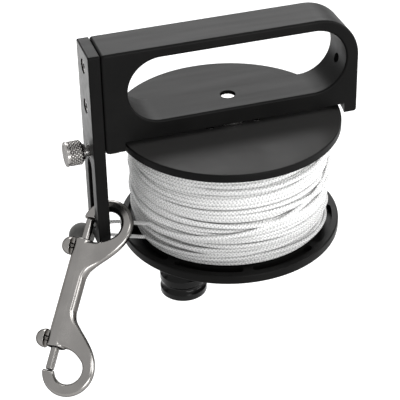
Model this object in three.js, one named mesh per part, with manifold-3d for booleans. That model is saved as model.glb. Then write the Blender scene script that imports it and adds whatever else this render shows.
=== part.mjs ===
// A hand-held dive reel: a grip block with a side bar, a spool of white line that turns on bearings under
// the block, a knurled lock screw, and a double-ended bolt snap clipped through the bar's line slot.
// Sizes are in millimetres. +Z runs up the spool's axis, +X along the grip, +Y away from the front face.
// The origin is where the spool's axis meets the flat top of the grip.
import * as THREE from 'three';
import Module from 'manifold-3d';
import { mergeVertices } from 'three/addons/utils/BufferGeometryUtils.js';

const wasm = await Module();
wasm.setup();

// The gap between pieces that touch, and how far a cut runs past what it cuts
const seatGap = 0.3;
const cutOverrun = 2;

// Grip block, measured from the spool's axis and from the grip's top. Its walls stand beside the flange.
const frontReach = 15.55;
const backReach = 9.45;
const blockEdge = 1.2;
const outerCornerRound = 24.3;
const gripTopThick = 6.2;
const gripHoleHeight = 37.2;
const gripLeftWall = 13.5;
const gripRightWall = 7;
const pocketRightWall = 5.6;
const lowerBarThick = 9.5;
const earDrop = 6.1;
const plateRound = 61.4;
const plateCentreLeft = 8.4;
const plateCentreFront = 23.3;
const plateEdge = 1;
const cordHoleRadius = 2.65;
const cordHoleDrop = 30.5;

// Side bar
const barThick = 6.6;
const barHeight = 118.5;
const barEdge = 0.8;
const barEndRound = 3;
const barSlotTop = 67.2;
const barSlotEndWall = 7;
const barSlotWidth = 8.3;

// Screws that hold the side bar to the block
const barScrewDrops = { upper: 10.4, lower: 34.1 };
const barScrewRadius = 2.5;
const barScrewBlockLength = 10.5;
const barScrewHeadRadius = 4.5;
const barScrewHeadThick = 2.3;
const barScrewHeadEdge = 0.35;
const barScrewHexRadius = 1.7;
const barScrewHexDepth = 1.4;

// Lock screw, its threaded insert and its brake pad
const lockDrop = 61.6;
const lockStudRadius = 2.9;
const lockInsertWall = 0.8;
const lockInsertInset = 0.2;
const lockKnobRadius = 6.75;
const lockKnobLength = 9.9;
const lockKnobRim = 1.1;
const lockKnobEdge = 0.6;
const lockKnobGroove = 0.35;
const lockKnobStandOff = 3.4;
const lockKnobNeckRadius = 4.2;
const lockKnobNeckLength = 1.2;
const lockKnobBoreDepth = 7.3;
const lockPadRadius = 4.2;
const lockPadRoom = 10.7;
const lockPadSetBack = 4.3;
const lockPadSocketDepth = 3.5;
const lockPadRelease = 1.2;
const lockGrooveGap = 0.5;

// Spool
const flangeRadius = 62.4;
const flangeBelowBlock = 4;
const topFlangeThick = 4.9;
const bottomFlangeThick = 5.55;
const flangeEdge = 0.9;
const spoolWidth = 59.2;
const pocketSideGap = 2;
const hubRadius = 19;
const hubBore = 9.5;
const lighteningPocketCount = 8;
const lighteningPocketRim = 3.6;
const lighteningPocketWidth = 5.2;
const lighteningPocketDepth = 3.4;
const lighteningRibWidth = 4.6;
const lighteningTurnDeg = -8;

// Axle, bearings and washers
const axleRadius = 4;
const axleRecess = 1.2;
const axleHeadRadius = 7.5;
const axleHeadThick = 4.5;
const axleHexRadius = 2.9;
const axleHexDepth = 2.6;
const axleEdge = 0.5;
const axleInsertWall = 2.4;
const axleInsertCover = 2.9;
const bearingRadius = 11;
const bearingWidth = 7;
const bearingRaceThick = 1.8;
const bearingShieldInset = 0.4;
const axleWasherRadius = 6.2;
const axleWasherThick = 1.3;

// Flange screws
const flangeScrewCount = 3;
const flangeScrewOrbit = 15.1;
const flangeScrewTurnDeg = 90;
const flangeScrewHeadRadius = 2.9;
const flangeScrewHeadThick = 2;
const flangeScrewRadius = 1.5;
const flangeScrewHubLength = 8;
const flangeScrewHexRadius = 1.1;
const flangeScrewHexDepth = 1;

// Winding knob
const knobInset = 14;
const knobTurnDeg = -140.3;
const knobRadius = 13.1;
const knobCoveDepth = 1.7;
const knobTopCoveHeight = 3.55;
const knobBandHeight = 3.5;
const knobCoveHeight = 5.3;
const knobRimHeight = 3.6;
const knobEdge = 0.5;
const knobWasherThick = 0.8;
const knobWasherRadius = 7.5;
const knobBushWall = 1.2;
const spindleRadius = 2.5;
const spindleThreadLength = 4.2;
const spindleHeadRadius = 4.6;
const spindleHeadThick = 2.8;
const spindleHeadInset = 1;
const spindleHexRadius = 1.8;
const spindleHexDepth = 1.6;

// Line on the spool: a plain core under one layer of turns
const lineRadius = 1;
const turnCount = 21;
const turnSteps = 24;
const turnSides = 6;
const turnLayerInset = 8.1;
const turnLayerBulge = 1.1;
const turnLayerTaper = 0.5;
const coreClearance = 0.4;

// Free end of the line, with its stopper ball. The route's points are placed by hand.
const strandSides = 8;
const strandStepDiameters = 2.5;
const stopperRadius = 7.4;
const stopperBoreRadius = 2.8;
const stopperCentre = new THREE.Vector3(-84.1, 12.1, -125.6);
const stopperLine = new THREE.Vector3(-0.52, 0.5, -0.69).normalize();
const knotRadius = 3.1;
const upperStrandRoute = [
  [-53, -22, -102.9],
  [-58.8, -12.4, -107],
  [-65.6, -5.4, -109.2],
  [-71, -3.3, -109.6],
  [-76.7, -3.05, -109.5],
  [-80.8, -2.6, -109.9],
  [-82.9, 0, -112.2],
  [-82.6, 4, -116.2],
  [-81, 7.6, -120.5],
  [-84.9, 11.3, -125.6],
  [-90.1, 16.3, -132.5],
];
const lowerStrandRoute = [
  [-54.1, -17.6, -114.2],
  [-59.6, -9.8, -117.6],
  [-65.2, -2.4, -120.4],
  [-70.6, 3.1, -122],
  [-75.4, 6.6, -120.9],
  [-79.5, 9.2, -120.9],
  [-83.3, 12.9, -125.6],
  [-88.5, 17.9, -132.5],
];

// Bolt snap, in its own plane: x to the right of the bolts' axis, y up that axis from the middle. It hangs
// by its upper ring, whose centre is placed from the bar's left face and the lower end of the bar's slot.
const snapTiltDeg = 51.2;
const snapYawDeg = -40.8;
const snapLeanDeg = -3.4;
const snapRingInsideBar = 5.678;
const snapRingBeforeSlot = 9.796;
const snapRingAboveSlotEnd = 6.202;
const snapPlateThick = 5;
const snapPlateEdge = 1.8;
const snapPlateLeft = 3.6;
const ringOffset = 10.6;
const ringReach = 41.1;
const ringOuterRadius = 14.8;
const ringInnerRadius = 8.1;
const ringOuterStartDeg = 160;
const ringOuterEndDeg = -15;
const hookTipLeft = 2.5;
const windowFloorInset = 10.9;
const barrelRadius = 5.4;
const barrelOverhang = 0.5;
const barrelEdge = 0.8;
const barrelMiddleWall = 3;
const boltRadius = 2.3;
const boltLength = 21.2;
const boltTipPastRing = 1.9;
const boltTravel = 9.5;
const boltTipEdge = 0.5;
const thumbInset = 3.6;
const thumbNeckRadius = 1.5;
const thumbNeckLength = 3.9;
const thumbCapRadius = 5.2;
const thumbCapHeight = 5.8;
const snapSpringWire = 0.35;
const snapSpringRadius = 1.8;
const snapSpringCurls = 6;
const snapSpringSteps = 6;
const snapSpringSides = 4;

// The plate's edge from the ring down to the barrel, as shares of the ring's reach to the side and along
const shoulderShares = [
  [0.936, 0.822],
  [0.815, 0.695],
  [0.64, 0.568],
  [0.43, 0.438],
  [0.275, 0.33],
  [0.223, 0.236],
];
// The thumb stud's dome, as shares of its radius and height
const domeShares = [
  [1, 0],
  [1, 0.3],
  [0.88, 0.6],
  [0.6, 0.88],
  [0, 1],
];
// Steps down a cove or down the wound line, as shares of the height
const coveShares = [0, 0.17, 0.5, 0.83, 1];

// Facets round the turned pieces, and divisions of the outlines' arcs
const largeFacets = 60;
const middleFacets = 26;
const smallFacets = 20;
const tinyFacets = 12;
const arcDivisions = 6;
const snapDivisions = 5;
const slotDivisions = 2;

// Places worked out from the sizes above
const pocketRadius = flangeRadius + pocketSideGap;
const blockLeftReach = flangeRadius + lockPadRoom;
const blockRightReach = pocketRadius + pocketRightWall;
const gripHoleLeftReach = blockLeftReach - gripLeftWall;
const gripHoleRightReach = blockRightReach - gripRightWall;
const lockPadThick = lockPadRoom - lockPadRelease - lockPadSetBack;
const knobOrbit = flangeRadius - knobInset;
const turnLayerRadius = flangeRadius - turnLayerInset;
const midDepth = (backReach - frontReach) / 2;
const blockDepth = frontReach + backReach;
const gripHoleFloor = gripTopThick + gripHoleHeight;
const lowerBarFloor = gripHoleFloor + lowerBarThick;
const blockHeight = lowerBarFloor + earDrop;
const barRight = -blockLeftReach - seatGap;
const barLeft = barRight - barThick;
const barSlotBottom = barHeight - barSlotEndWall;
const topFlangeTop = -lowerBarFloor - flangeBelowBlock;
const topFlangeFloor = topFlangeTop - topFlangeThick;
const bottomFlangeTop = topFlangeFloor - spoolWidth;
const bottomFlangeFloor = bottomFlangeTop - bottomFlangeThick;
const hubTop = topFlangeFloor - seatGap;
const hubFloor = bottomFlangeTop + seatGap;
const lockBore = lockStudRadius + seatGap;
const lockInsertRadius = lockBore + lockInsertWall;
const axleBore = axleRadius + seatGap;
const windowFloor = ringReach - windowFloorInset;
const boltTipReach = ringReach + boltTipPastRing;
const thumbReach = windowFloor - thumbInset;

// Looks of the pieces
const black = { color: 0x1d1d1d, roughness: 0.45, metalness: 0 };
const blackGloss = { color: 0x161616, roughness: 0.3, metalness: 0 };
const steel = { color: 0xc8c8c6, roughness: 0.25, metalness: 1 };
const nylon = { color: 0xe6e4dc, roughness: 0.6, metalness: 0 };
const lineWhite = { color: 0xe9e9ea, roughness: 0.9, metalness: 0 };
const stopperGrey = { color: 0x6f6f6b, roughness: 0.7, metalness: 0 };

const object = new THREE.Group();

function addPiece(name, geometry, look, parent = object) {
  const mesh = new THREE.Mesh(geometry, new THREE.MeshStandardMaterial(look));
  mesh.name = name;
  parent.add(mesh);
  return mesh;
}

// Makes a solid for joining and cutting from a closed geometry
function toSolid(geometry) {
  const bare = geometry.clone();
  bare.deleteAttribute('normal');
  bare.deleteAttribute('uv');
  const merged = mergeVertices(bare, 1e-5);
  return new wasm.Manifold(new wasm.Mesh({
    numProp: 3,
    vertProperties: new Float32Array(merged.attributes.position.array),
    triVerts: new Uint32Array(merged.index.array),
  }));
}

function meshGeometry(positions, faces) {
  const geometry = new THREE.BufferGeometry();
  geometry.setAttribute('position', new THREE.Float32BufferAttribute(positions, 3));
  geometry.setIndex(faces);
  geometry.computeVertexNormals();
  return geometry;
}

function toGeometry(solid) {
  const mesh = solid.getMesh();
  return meshGeometry(Array.from(mesh.vertProperties), Array.from(mesh.triVerts));
}

function cutAll(solid, cutters) {
  return cutters.reduce((left, cutter) => left.subtract(toSolid(cutter)), solid);
}

// A piece turned about +Z. The profile lists [radius, height] anticlockwise, from axis to axis.
function turned(profile, facets) {
  const points = profile.map(([radius, height]) => new THREE.Vector2(radius, height));
  return new THREE.LatheGeometry(points, facets).rotateX(Math.PI / 2);
}

// The same with a bore through it: the profile closes on itself
function turnedRing(profile, facets) {
  return turned([...profile, profile[0]], facets);
}

function plainRing(inner, outer, low, high, facets) {
  return turnedRing([[inner, low], [outer, low], [outer, high], [inner, high]], facets);
}

// A rod along +Z between two heights, given in either order
function rod(radius, end, otherEnd, facets) {
  const low = Math.min(end, otherEnd);
  const high = Math.max(end, otherEnd);
  return turned([[0, low], [radius, low], [radius, high], [0, high]], facets);
}

function hexRod(radius, end, otherEnd) {
  return rod(radius, end, otherEnd, 6);
}

// Turns a piece made along +Z so that it runs along +X
function alongX(geometry) {
  return geometry.rotateY(Math.PI / 2);
}

// Extrudes an outline by a full depth along +Z, with an edge bevelled on both faces
function bevelled(shape, depth, edge, bevelSegments, curveSegments) {
  return new THREE.ExtrudeGeometry(shape, {
    depth: depth - 2 * edge,
    bevelEnabled: true,
    bevelThickness: edge,
    bevelSize: edge,
    bevelOffset: -edge,
    bevelSegments,
    curveSegments,
  }).translate(0, 0, edge);
}

// One unbroken round tube through a list of points, made ring by ring with flat ends
function wireThrough(points, radius, sides) {
  const positions = [];
  const faces = [];
  const directionAt = (i) => {
    const before = points[Math.max(i - 1, 0)];
    const after = points[Math.min(i + 1, points.length - 1)];
    return after.clone().sub(before).normalize();
  };
  let side = new THREE.Vector3(1, 0, 0);
  points.forEach((point, i) => {
    const direction = directionAt(i);
    side = side.clone().addScaledVector(direction, -side.dot(direction)).normalize();
    const other = direction.clone().cross(side);
    for (let k = 0; k < sides; k += 1) {
      const angle = (2 * Math.PI * k) / sides;
      const place = point.clone()
        .addScaledVector(side, radius * Math.cos(angle))
        .addScaledVector(other, radius * Math.sin(angle));
      positions.push(place.x, place.y, place.z);
    }
  });
  for (let i = 0; i < points.length - 1; i += 1) {
    for (let k = 0; k < sides; k += 1) {
      const a = i * sides + k;
      const b = i * sides + ((k + 1) % sides);
      faces.push(a, b, b + sides, a, b + sides, a + sides);
    }
  }
  const last = (points.length - 1) * sides;
  for (let k = 1; k < sides - 1; k += 1) {
    faces.push(0, k + 1, k, last, last + k, last + k + 1);
  }
  return meshGeometry(positions, faces);
}

function leastSelfGap(points, radius, pointsApart) {
  let least = Infinity;
  for (let i = 0; i < points.length; i += 1) {
    for (let k = i + pointsApart; k < points.length; k += 1) {
      least = Math.min(least, points[i].distanceTo(points[k]));
    }
  }
  return (least - 2 * radius).toFixed(2);
}

// Grip block: a rounded bar with a long finger hole, drawn from the front
function gripOutline() {
  const outline = new THREE.Shape();
  outline.moveTo(-blockLeftReach, -blockHeight);
  outline.lineTo(blockRightReach, -blockHeight);
  outline.absarc(
    blockRightReach - outerCornerRound,
    -outerCornerRound,
    outerCornerRound,
    0,
    Math.PI / 2,
  );
  outline.lineTo(-blockLeftReach, 0);
  outline.closePath();
  const round = gripHoleHeight / 2;
  const middle = -gripTopThick - round;
  const hole = new THREE.Path();
  hole.absarc(gripHoleRightReach - round, middle, round, Math.PI / 2, -Math.PI / 2, true);
  hole.absarc(round - gripHoleLeftReach, middle, round, -Math.PI / 2, Math.PI / 2, true);
  hole.closePath();
  outline.holes.push(hole);
  return outline;
}

// Rear plate: the part of a disc that stands out behind the block, level with the finger hole's floor
function rearPlate() {
  const disc = turned([
    [0, -lowerBarFloor],
    [plateRound - plateEdge, -lowerBarFloor],
    [plateRound, plateEdge - lowerBarFloor],
    [plateRound, -plateEdge - gripHoleFloor],
    [plateRound - plateEdge, -gripHoleFloor],
    [0, -gripHoleFloor],
  ], largeFacets).translate(-plateCentreLeft, -plateCentreFront, 0);
  const kept = new THREE.BoxGeometry(2 * plateRound + cutOverrun, plateRound, blockHeight);
  kept.translate(-plateCentreLeft, backReach - 2 * blockEdge + plateRound / 2, -lowerBarFloor);
  return toSolid(disc).intersect(toSolid(kept));
}

function gripBlock() {
  const body = bevelled(gripOutline(), blockDepth, blockEdge, 1, arcDivisions)
    .rotateX(Math.PI / 2)
    .translate(0, backReach, 0);
  const insertSeat = axleBore + axleInsertWall + seatGap;
  const cutters = [
    rod(pocketRadius, -blockHeight - cutOverrun, -lowerBarFloor, largeFacets),
    rod(axleBore, -lowerBarFloor - cutOverrun, -gripHoleFloor + cutOverrun, smallFacets),
    rod(insertSeat, -lowerBarFloor - cutOverrun, -gripHoleFloor - axleInsertCover, smallFacets),
    alongX(rod(
      cordHoleRadius,
      gripHoleRightReach - gripHoleHeight / 2,
      blockRightReach + cutOverrun,
      smallFacets,
    )).translate(0, midDepth, -cordHoleDrop),
    alongX(rod(
      lockPadRadius + lockGrooveGap,
      -blockLeftReach - cutOverrun,
      cutOverrun - pocketRadius,
      middleFacets,
    )).translate(0, midDepth, -lockDrop),
  ];
  Object.values(barScrewDrops).forEach((drop) => {
    const screwHole = rod(
      barScrewRadius + seatGap,
      -blockLeftReach - cutOverrun,
      -blockLeftReach + barScrewBlockLength + seatGap,
      tinyFacets,
    );
    cutters.push(alongX(screwHole).translate(0, midDepth, -drop));
  });
  return toGeometry(cutAll(toSolid(body).add(rearPlate()), cutters));
}

// Side bar: a flat strip with a long line slot, drawn from the left
function barOutline() {
  const outline = new THREE.Shape();
  outline.moveTo(backReach, 0);
  outline.lineTo(-frontReach, 0);
  outline.absarc(
    barEndRound - frontReach,
    barEndRound - barHeight,
    barEndRound,
    Math.PI,
    1.5 * Math.PI,
  );
  outline.absarc(backReach - barEndRound, barEndRound - barHeight, barEndRound, -Math.PI / 2, 0);
  outline.closePath();
  const round = barSlotWidth / 2;
  const slot = new THREE.Path();
  slot.absarc(midDepth, -barSlotTop - round, round, 0, Math.PI);
  slot.absarc(midDepth, round - barSlotBottom, round, Math.PI, 2 * Math.PI);
  slot.closePath();
  outline.holes.push(slot);
  return outline;
}

function sideBar() {
  const upright = new THREE.Matrix4().makeBasis(
    new THREE.Vector3(0, 1, 0),
    new THREE.Vector3(0, 0, 1),
    new THREE.Vector3(1, 0, 0),
  );
  const body = bevelled(barOutline(), barThick, barEdge, 1, arcDivisions / 2)
    .applyMatrix4(upright)
    .translate(barLeft, 0, 0);
  const through = (radius, facets) => alongX(rod(
    radius,
    barLeft - cutOverrun,
    barRight + cutOverrun,
    facets,
  ));
  const cutters = [through(lockInsertRadius + seatGap, smallFacets).translate(0, midDepth, -lockDrop)];
  Object.values(barScrewDrops).forEach((drop) => {
    const headSeat = alongX(rod(
      barScrewHeadRadius + seatGap,
      barLeft - cutOverrun,
      barLeft + barScrewHeadThick + seatGap,
      smallFacets,
    ));
    cutters.push(headSeat.translate(0, midDepth, -drop));
    cutters.push(through(barScrewRadius + seatGap, tinyFacets).translate(0, midDepth, -drop));
  });
  return toGeometry(cutAll(toSolid(body), cutters));
}

// Screw along +X, its head flush with the bar's left face and a hexagon socket in it
function barScrew() {
  const neck = barLeft + barScrewHeadThick;
  const end = -blockLeftReach + barScrewBlockLength;
  const body = turned([
    [0, barLeft],
    [barScrewHeadRadius - barScrewHeadEdge, barLeft],
    [barScrewHeadRadius, barLeft + barScrewHeadEdge],
    [barScrewHeadRadius, neck],
    [barScrewRadius, neck],
    [barScrewRadius, end],
    [0, end],
  ], smallFacets);
  const socket = hexRod(barScrewHexRadius, barLeft - cutOverrun, barLeft + barScrewHexDepth);
  return alongX(toGeometry(toSolid(body).subtract(toSolid(socket))));
}

addPiece('grip_block', gripBlock(), black);
addPiece('side_bar', sideBar(), black);
Object.entries(barScrewDrops).forEach(([name, drop]) => {
  addPiece(`bar_screw_${name}`, barScrew(), steel).position.set(0, midDepth, -drop);
});

// Lock screw, all along +X at one height: insert in the bar, knurled head, stud and brake pad
const lockGroup = new THREE.Group();
lockGroup.position.set(0, midDepth, -lockDrop);
object.add(lockGroup);

const lockKnobRight = barLeft - lockKnobStandOff;
const lockKnobLeft = lockKnobRight - lockKnobLength;
const lockBoreEnd = lockKnobRight - lockKnobBoreDepth;
const padRight = -flangeRadius - lockPadRelease;
const padLeft = padRight - lockPadThick;
const padSocketEnd = padLeft + lockPadSocketDepth;

function lockKnob() {
  return alongX(turned([
    [0, lockKnobLeft],
    [lockKnobRadius - lockKnobEdge, lockKnobLeft],
    [lockKnobRadius, lockKnobLeft + lockKnobEdge],
    [lockKnobRadius, lockKnobLeft + lockKnobRim],
    [lockKnobRadius - lockKnobGroove, lockKnobLeft + lockKnobRim + lockKnobGroove],
    [lockKnobRadius, lockKnobLeft + lockKnobRim + 2 * lockKnobGroove],
    [lockKnobRadius, lockKnobRight - lockKnobRim],
    [lockKnobRadius - lockKnobEdge, lockKnobRight],
    [lockKnobNeckRadius, lockKnobRight],
    [lockKnobNeckRadius, lockKnobRight + lockKnobNeckLength],
    [lockBore, lockKnobRight + lockKnobNeckLength],
    [lockBore, lockBoreEnd],
    [0, lockBoreEnd],
  ], smallFacets));
}

function lockPad() {
  return alongX(turned([
    [0, padSocketEnd],
    [lockBore, padSocketEnd],
    [lockBore, padLeft],
    [lockPadRadius, padLeft],
    [lockPadRadius, padRight],
    [0, padRight],
  ], smallFacets));
}

addPiece('lock_insert', alongX(plainRing(
  lockBore,
  lockInsertRadius,
  barLeft + lockInsertInset,
  barRight - lockInsertInset,
  smallFacets,
)), steel, lockGroup);
addPiece('lock_knob', lockKnob(), steel, lockGroup);
addPiece('lock_stud', alongX(rod(
  lockStudRadius,
  lockBoreEnd + seatGap,
  padSocketEnd - seatGap,
  smallFacets,
)), steel, lockGroup);
addPiece('lock_pad', lockPad(), nylon, lockGroup);

// Axle with its insert, washers and two bearings
const axleTop = -gripHoleFloor - axleRecess;
const upperBearingTop = topFlangeFloor + bearingWidth;
const upperWasherFloor = upperBearingTop + seatGap;
const lowerWasherFloor = bottomFlangeTop - bearingWidth - seatGap - axleWasherThick;
const axleHeadTop = lowerWasherFloor - seatGap;
const axleFloor = axleHeadTop - axleHeadThick;

function axle() {
  const body = turned([
    [0, axleFloor],
    [axleHeadRadius - axleEdge, axleFloor],
    [axleHeadRadius, axleFloor + axleEdge],
    [axleHeadRadius, axleHeadTop],
    [axleRadius, axleHeadTop],
    [axleRadius, axleTop - axleEdge],
    [axleRadius - axleEdge, axleTop],
    [0, axleTop],
  ], smallFacets);
  const socket = hexRod(axleHexRadius, axleFloor - cutOverrun, axleFloor + axleHexDepth);
  return toGeometry(toSolid(body).subtract(toSolid(socket)));
}

function bearing(top) {
  const floor = top - bearingWidth;
  const shieldInner = axleBore + bearingRaceThick;
  const shieldOuter = bearingRadius - bearingRaceThick;
  return turnedRing([
    [axleBore, floor],
    [shieldInner, floor],
    [shieldInner, floor + bearingShieldInset],
    [shieldOuter, floor + bearingShieldInset],
    [shieldOuter, floor],
    [bearingRadius, floor],
    [bearingRadius, top],
    [shieldOuter, top],
    [shieldOuter, top - bearingShieldInset],
    [shieldInner, top - bearingShieldInset],
    [shieldInner, top],
    [axleBore, top],
  ], smallFacets);
}

function axleWasher(floor) {
  return plainRing(axleBore, axleWasherRadius, floor, floor + axleWasherThick, smallFacets);
}

addPiece('axle', axle(), steel);
addPiece('axle_insert', plainRing(
  axleBore,
  axleBore + axleInsertWall,
  seatGap - lowerBarFloor,
  -gripHoleFloor - axleInsertCover - seatGap,
  smallFacets,
), steel);
addPiece('axle_washer_upper', axleWasher(upperWasherFloor), steel);
addPiece('axle_washer_lower', axleWasher(lowerWasherFloor), steel);
addPiece('bearing_upper', bearing(upperBearingTop), steel);
addPiece('bearing_lower', bearing(bottomFlangeTop), steel);

// Spool: hub, two flanges and the screws that join them
const knobAngle = THREE.MathUtils.degToRad(knobTurnDeg);
const knobX = knobOrbit * Math.cos(knobAngle);
const knobY = knobOrbit * Math.sin(knobAngle);

const flangeScrewPlaces = [];
for (let i = 0; i < flangeScrewCount; i += 1) {
  const angle = THREE.MathUtils.degToRad(flangeScrewTurnDeg) + (2 * Math.PI * i) / flangeScrewCount;
  flangeScrewPlaces.push([flangeScrewOrbit * Math.cos(angle), flangeScrewOrbit * Math.sin(angle)]);
}

// Rods at each flange screw's place, from one height to another
function flangeScrewRods(radius, end, otherEnd) {
  return flangeScrewPlaces.map(([x, y]) => rod(radius, end, otherEnd, tinyFacets).translate(x, y, 0));
}

function spoolHub() {
  const body = plainRing(hubBore, hubRadius, hubFloor, hubTop, middleFacets);
  const depth = flangeScrewHubLength + seatGap;
  const hole = flangeScrewRadius + seatGap;
  return toGeometry(cutAll(toSolid(body), [
    ...flangeScrewRods(hole, hubTop - depth, hubTop + cutOverrun),
    ...flangeScrewRods(hole, hubFloor + depth, hubFloor - cutOverrun),
  ]));
}

function flangeDisc(top, floor) {
  return toSolid(turnedRing([
    [bearingRadius + seatGap, floor],
    [flangeRadius - flangeEdge, floor],
    [flangeRadius, floor + flangeEdge],
    [flangeRadius, top - flangeEdge],
    [flangeRadius - flangeEdge, top],
    [bearingRadius + seatGap, top],
  ], largeFacets));
}

function topFlange() {
  return toGeometry(cutAll(flangeDisc(topFlangeTop, topFlangeFloor), [
    ...flangeScrewRods(
      flangeScrewRadius + seatGap,
      topFlangeTop + cutOverrun,
      topFlangeFloor - cutOverrun,
    ),
    ...flangeScrewRods(
      flangeScrewHeadRadius + seatGap,
      topFlangeTop + cutOverrun,
      topFlangeTop - flangeScrewHeadThick - seatGap,
    ),
  ]));
}

// A curved pocket with round ends, drawn flat about the spool's axis
function lighteningPocket(middleAngle) {
  const outer = flangeRadius - lighteningPocketRim;
  const inner = outer - lighteningPocketWidth;
  const middle = (outer + inner) / 2;
  const round = lighteningPocketWidth / 2;
  const halfSpan = Math.PI / lighteningPocketCount - (lighteningRibWidth / 2 + round) / middle;
  const start = middleAngle - halfSpan;
  const end = middleAngle + halfSpan;
  const shape = new THREE.Shape();
  shape.absarc(0, 0, outer, start, end);
  shape.absarc(middle * Math.cos(end), middle * Math.sin(end), round, end, end + Math.PI);
  shape.absarc(0, 0, inner, end, start, true);
  shape.absarc(
    middle * Math.cos(start),
    middle * Math.sin(start),
    round,
    start + Math.PI,
    start + 2 * Math.PI,
  );
  return shape;
}

function bottomFlange() {
  const cutters = [
    rod(
      spindleRadius + seatGap,
      bottomFlangeFloor - cutOverrun,
      bottomFlangeTop + cutOverrun,
      tinyFacets,
    ).translate(knobX, knobY, 0),
    ...flangeScrewRods(
      flangeScrewRadius + seatGap,
      bottomFlangeTop + cutOverrun,
      bottomFlangeFloor - cutOverrun,
    ),
    ...flangeScrewRods(
      flangeScrewHeadRadius + seatGap,
      bottomFlangeFloor - cutOverrun,
      bottomFlangeFloor + flangeScrewHeadThick + seatGap,
    ),
  ];
  for (let i = 0; i < lighteningPocketCount; i += 1) {
    const turnShare = (i + 0.5) / lighteningPocketCount;
    const middleAngle = THREE.MathUtils.degToRad(lighteningTurnDeg) + 2 * Math.PI * turnShare;
    cutters.push(new THREE.ExtrudeGeometry(lighteningPocket(middleAngle), {
      depth: lighteningPocketDepth + cutOverrun,
      bevelEnabled: false,
      curveSegments: slotDivisions,
    }).translate(0, 0, bottomFlangeTop - lighteningPocketDepth));
  }
  return toGeometry(cutAll(flangeDisc(bottomFlangeTop, bottomFlangeFloor), cutters));
}

// Flange screw, made with its head up and its head's top at zero
function flangeScrew(flangeThick) {
  const end = -flangeThick - seatGap - flangeScrewHubLength;
  const body = turned([
    [0, end],
    [flangeScrewRadius, end],
    [flangeScrewRadius, -flangeScrewHeadThick],
    [flangeScrewHeadRadius, -flangeScrewHeadThick],
    [flangeScrewHeadRadius, 0],
    [0, 0],
  ], tinyFacets);
  const socket = hexRod(flangeScrewHexRadius, -flangeScrewHexDepth, cutOverrun);
  return toGeometry(toSolid(body).subtract(toSolid(socket)));
}

addPiece('spool_hub', spoolHub(), black);
addPiece('top_flange', topFlange(), black);
addPiece('bottom_flange', bottomFlange(), black);
flangeScrewPlaces.forEach(([x, y], i) => {
  const upper = addPiece(`flange_screw_upper_${i + 1}`, flangeScrew(topFlangeThick), steel);
  upper.position.set(x, y, topFlangeTop);
  const lower = addPiece(`flange_screw_lower_${i + 1}`, flangeScrew(bottomFlangeThick), steel);
  lower.rotation.x = Math.PI;
  lower.position.set(x, y, bottomFlangeFloor);
});

// Winding knob on its spindle, under the bottom flange
const knobGroup = new THREE.Group();
knobGroup.position.set(knobX, knobY, 0);
object.add(knobGroup);

const bushBore = spindleRadius + seatGap;
const knobBore = bushBore + knobBushWall + seatGap;
const knobWasherTop = bottomFlangeFloor - seatGap;
const knobTop = knobWasherTop - knobWasherThick - seatGap;
const knobUpperBandTop = knobTop - knobTopCoveHeight;
const knobCoveTop = knobUpperBandTop - knobBandHeight;
const knobRimTop = knobCoveTop - knobCoveHeight;
const knobFloor = knobRimTop - knobRimHeight;
const spindleHeadFloor = knobFloor + spindleHeadInset;
const spindleHeadTop = spindleHeadFloor + spindleHeadThick;

// A hollow curve between two heights, over a whole half turn or only down to its deepest point
function cove(low, high, halfTurnShare = 1) {
  return coveShares.map((share) => [
    knobRadius - knobCoveDepth * Math.sin(Math.PI * halfTurnShare * share),
    low + (high - low) * share,
  ]);
}

function windingKnob() {
  return turnedRing([
    [spindleHeadRadius + seatGap, knobFloor],
    [knobRadius - knobEdge, knobFloor],
    [knobRadius, knobFloor + knobEdge],
    ...cove(knobRimTop, knobCoveTop),
    ...cove(knobUpperBandTop, knobTop, 0.5),
    [knobBore, knobTop],
    [knobBore, spindleHeadTop + seatGap],
    [spindleHeadRadius + seatGap, spindleHeadTop + seatGap],
  ], middleFacets);
}

function knobSpindle() {
  const top = bottomFlangeFloor + spindleThreadLength;
  const body = turned([
    [0, spindleHeadFloor],
    [spindleHeadRadius, spindleHeadFloor],
    [spindleHeadRadius, spindleHeadTop],
    [spindleRadius, spindleHeadTop],
    [spindleRadius, top],
    [0, top],
  ], smallFacets);
  const socket = hexRod(
    spindleHexRadius,
    spindleHeadFloor - cutOverrun,
    spindleHeadFloor + spindleHexDepth,
  );
  return toGeometry(toSolid(body).subtract(toSolid(socket)));
}

addPiece('winding_knob', windingKnob(), blackGloss, knobGroup);
addPiece('knob_spindle', knobSpindle(), steel, knobGroup);
addPiece('knob_bush', plainRing(
  bushBore,
  bushBore + knobBushWall,
  spindleHeadTop + seatGap,
  knobTop,
  smallFacets,
), nylon, knobGroup);
addPiece('knob_washer', plainRing(
  bushBore,
  knobWasherRadius,
  knobWasherTop - knobWasherThick,
  knobWasherTop,
  smallFacets,
), steel, knobGroup);

// Line on the spool. Its turns' centres bulge a little midway and taper towards the lower flange.
const turnsTop = topFlangeFloor - seatGap - 2 * lineRadius;
const turnsFloor = bottomFlangeTop + seatGap + 2 * lineRadius;
const layerRadiusAt = (share) => turnLayerRadius
  + turnLayerBulge * Math.sin(Math.PI * share)
  - turnLayerTaper * share;

function lineCore() {
  const top = topFlangeFloor - seatGap;
  const floor = bottomFlangeTop + seatGap;
  const inner = hubRadius + seatGap;
  const outerSide = coveShares.map((share) => [
    layerRadiusAt(1 - share) * Math.cos(Math.PI / turnSteps) - lineRadius - coreClearance,
    floor + (top - floor) * share,
  ]);
  return turnedRing([[inner, floor], ...outerSide, [inner, top]], middleFacets);
}

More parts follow.
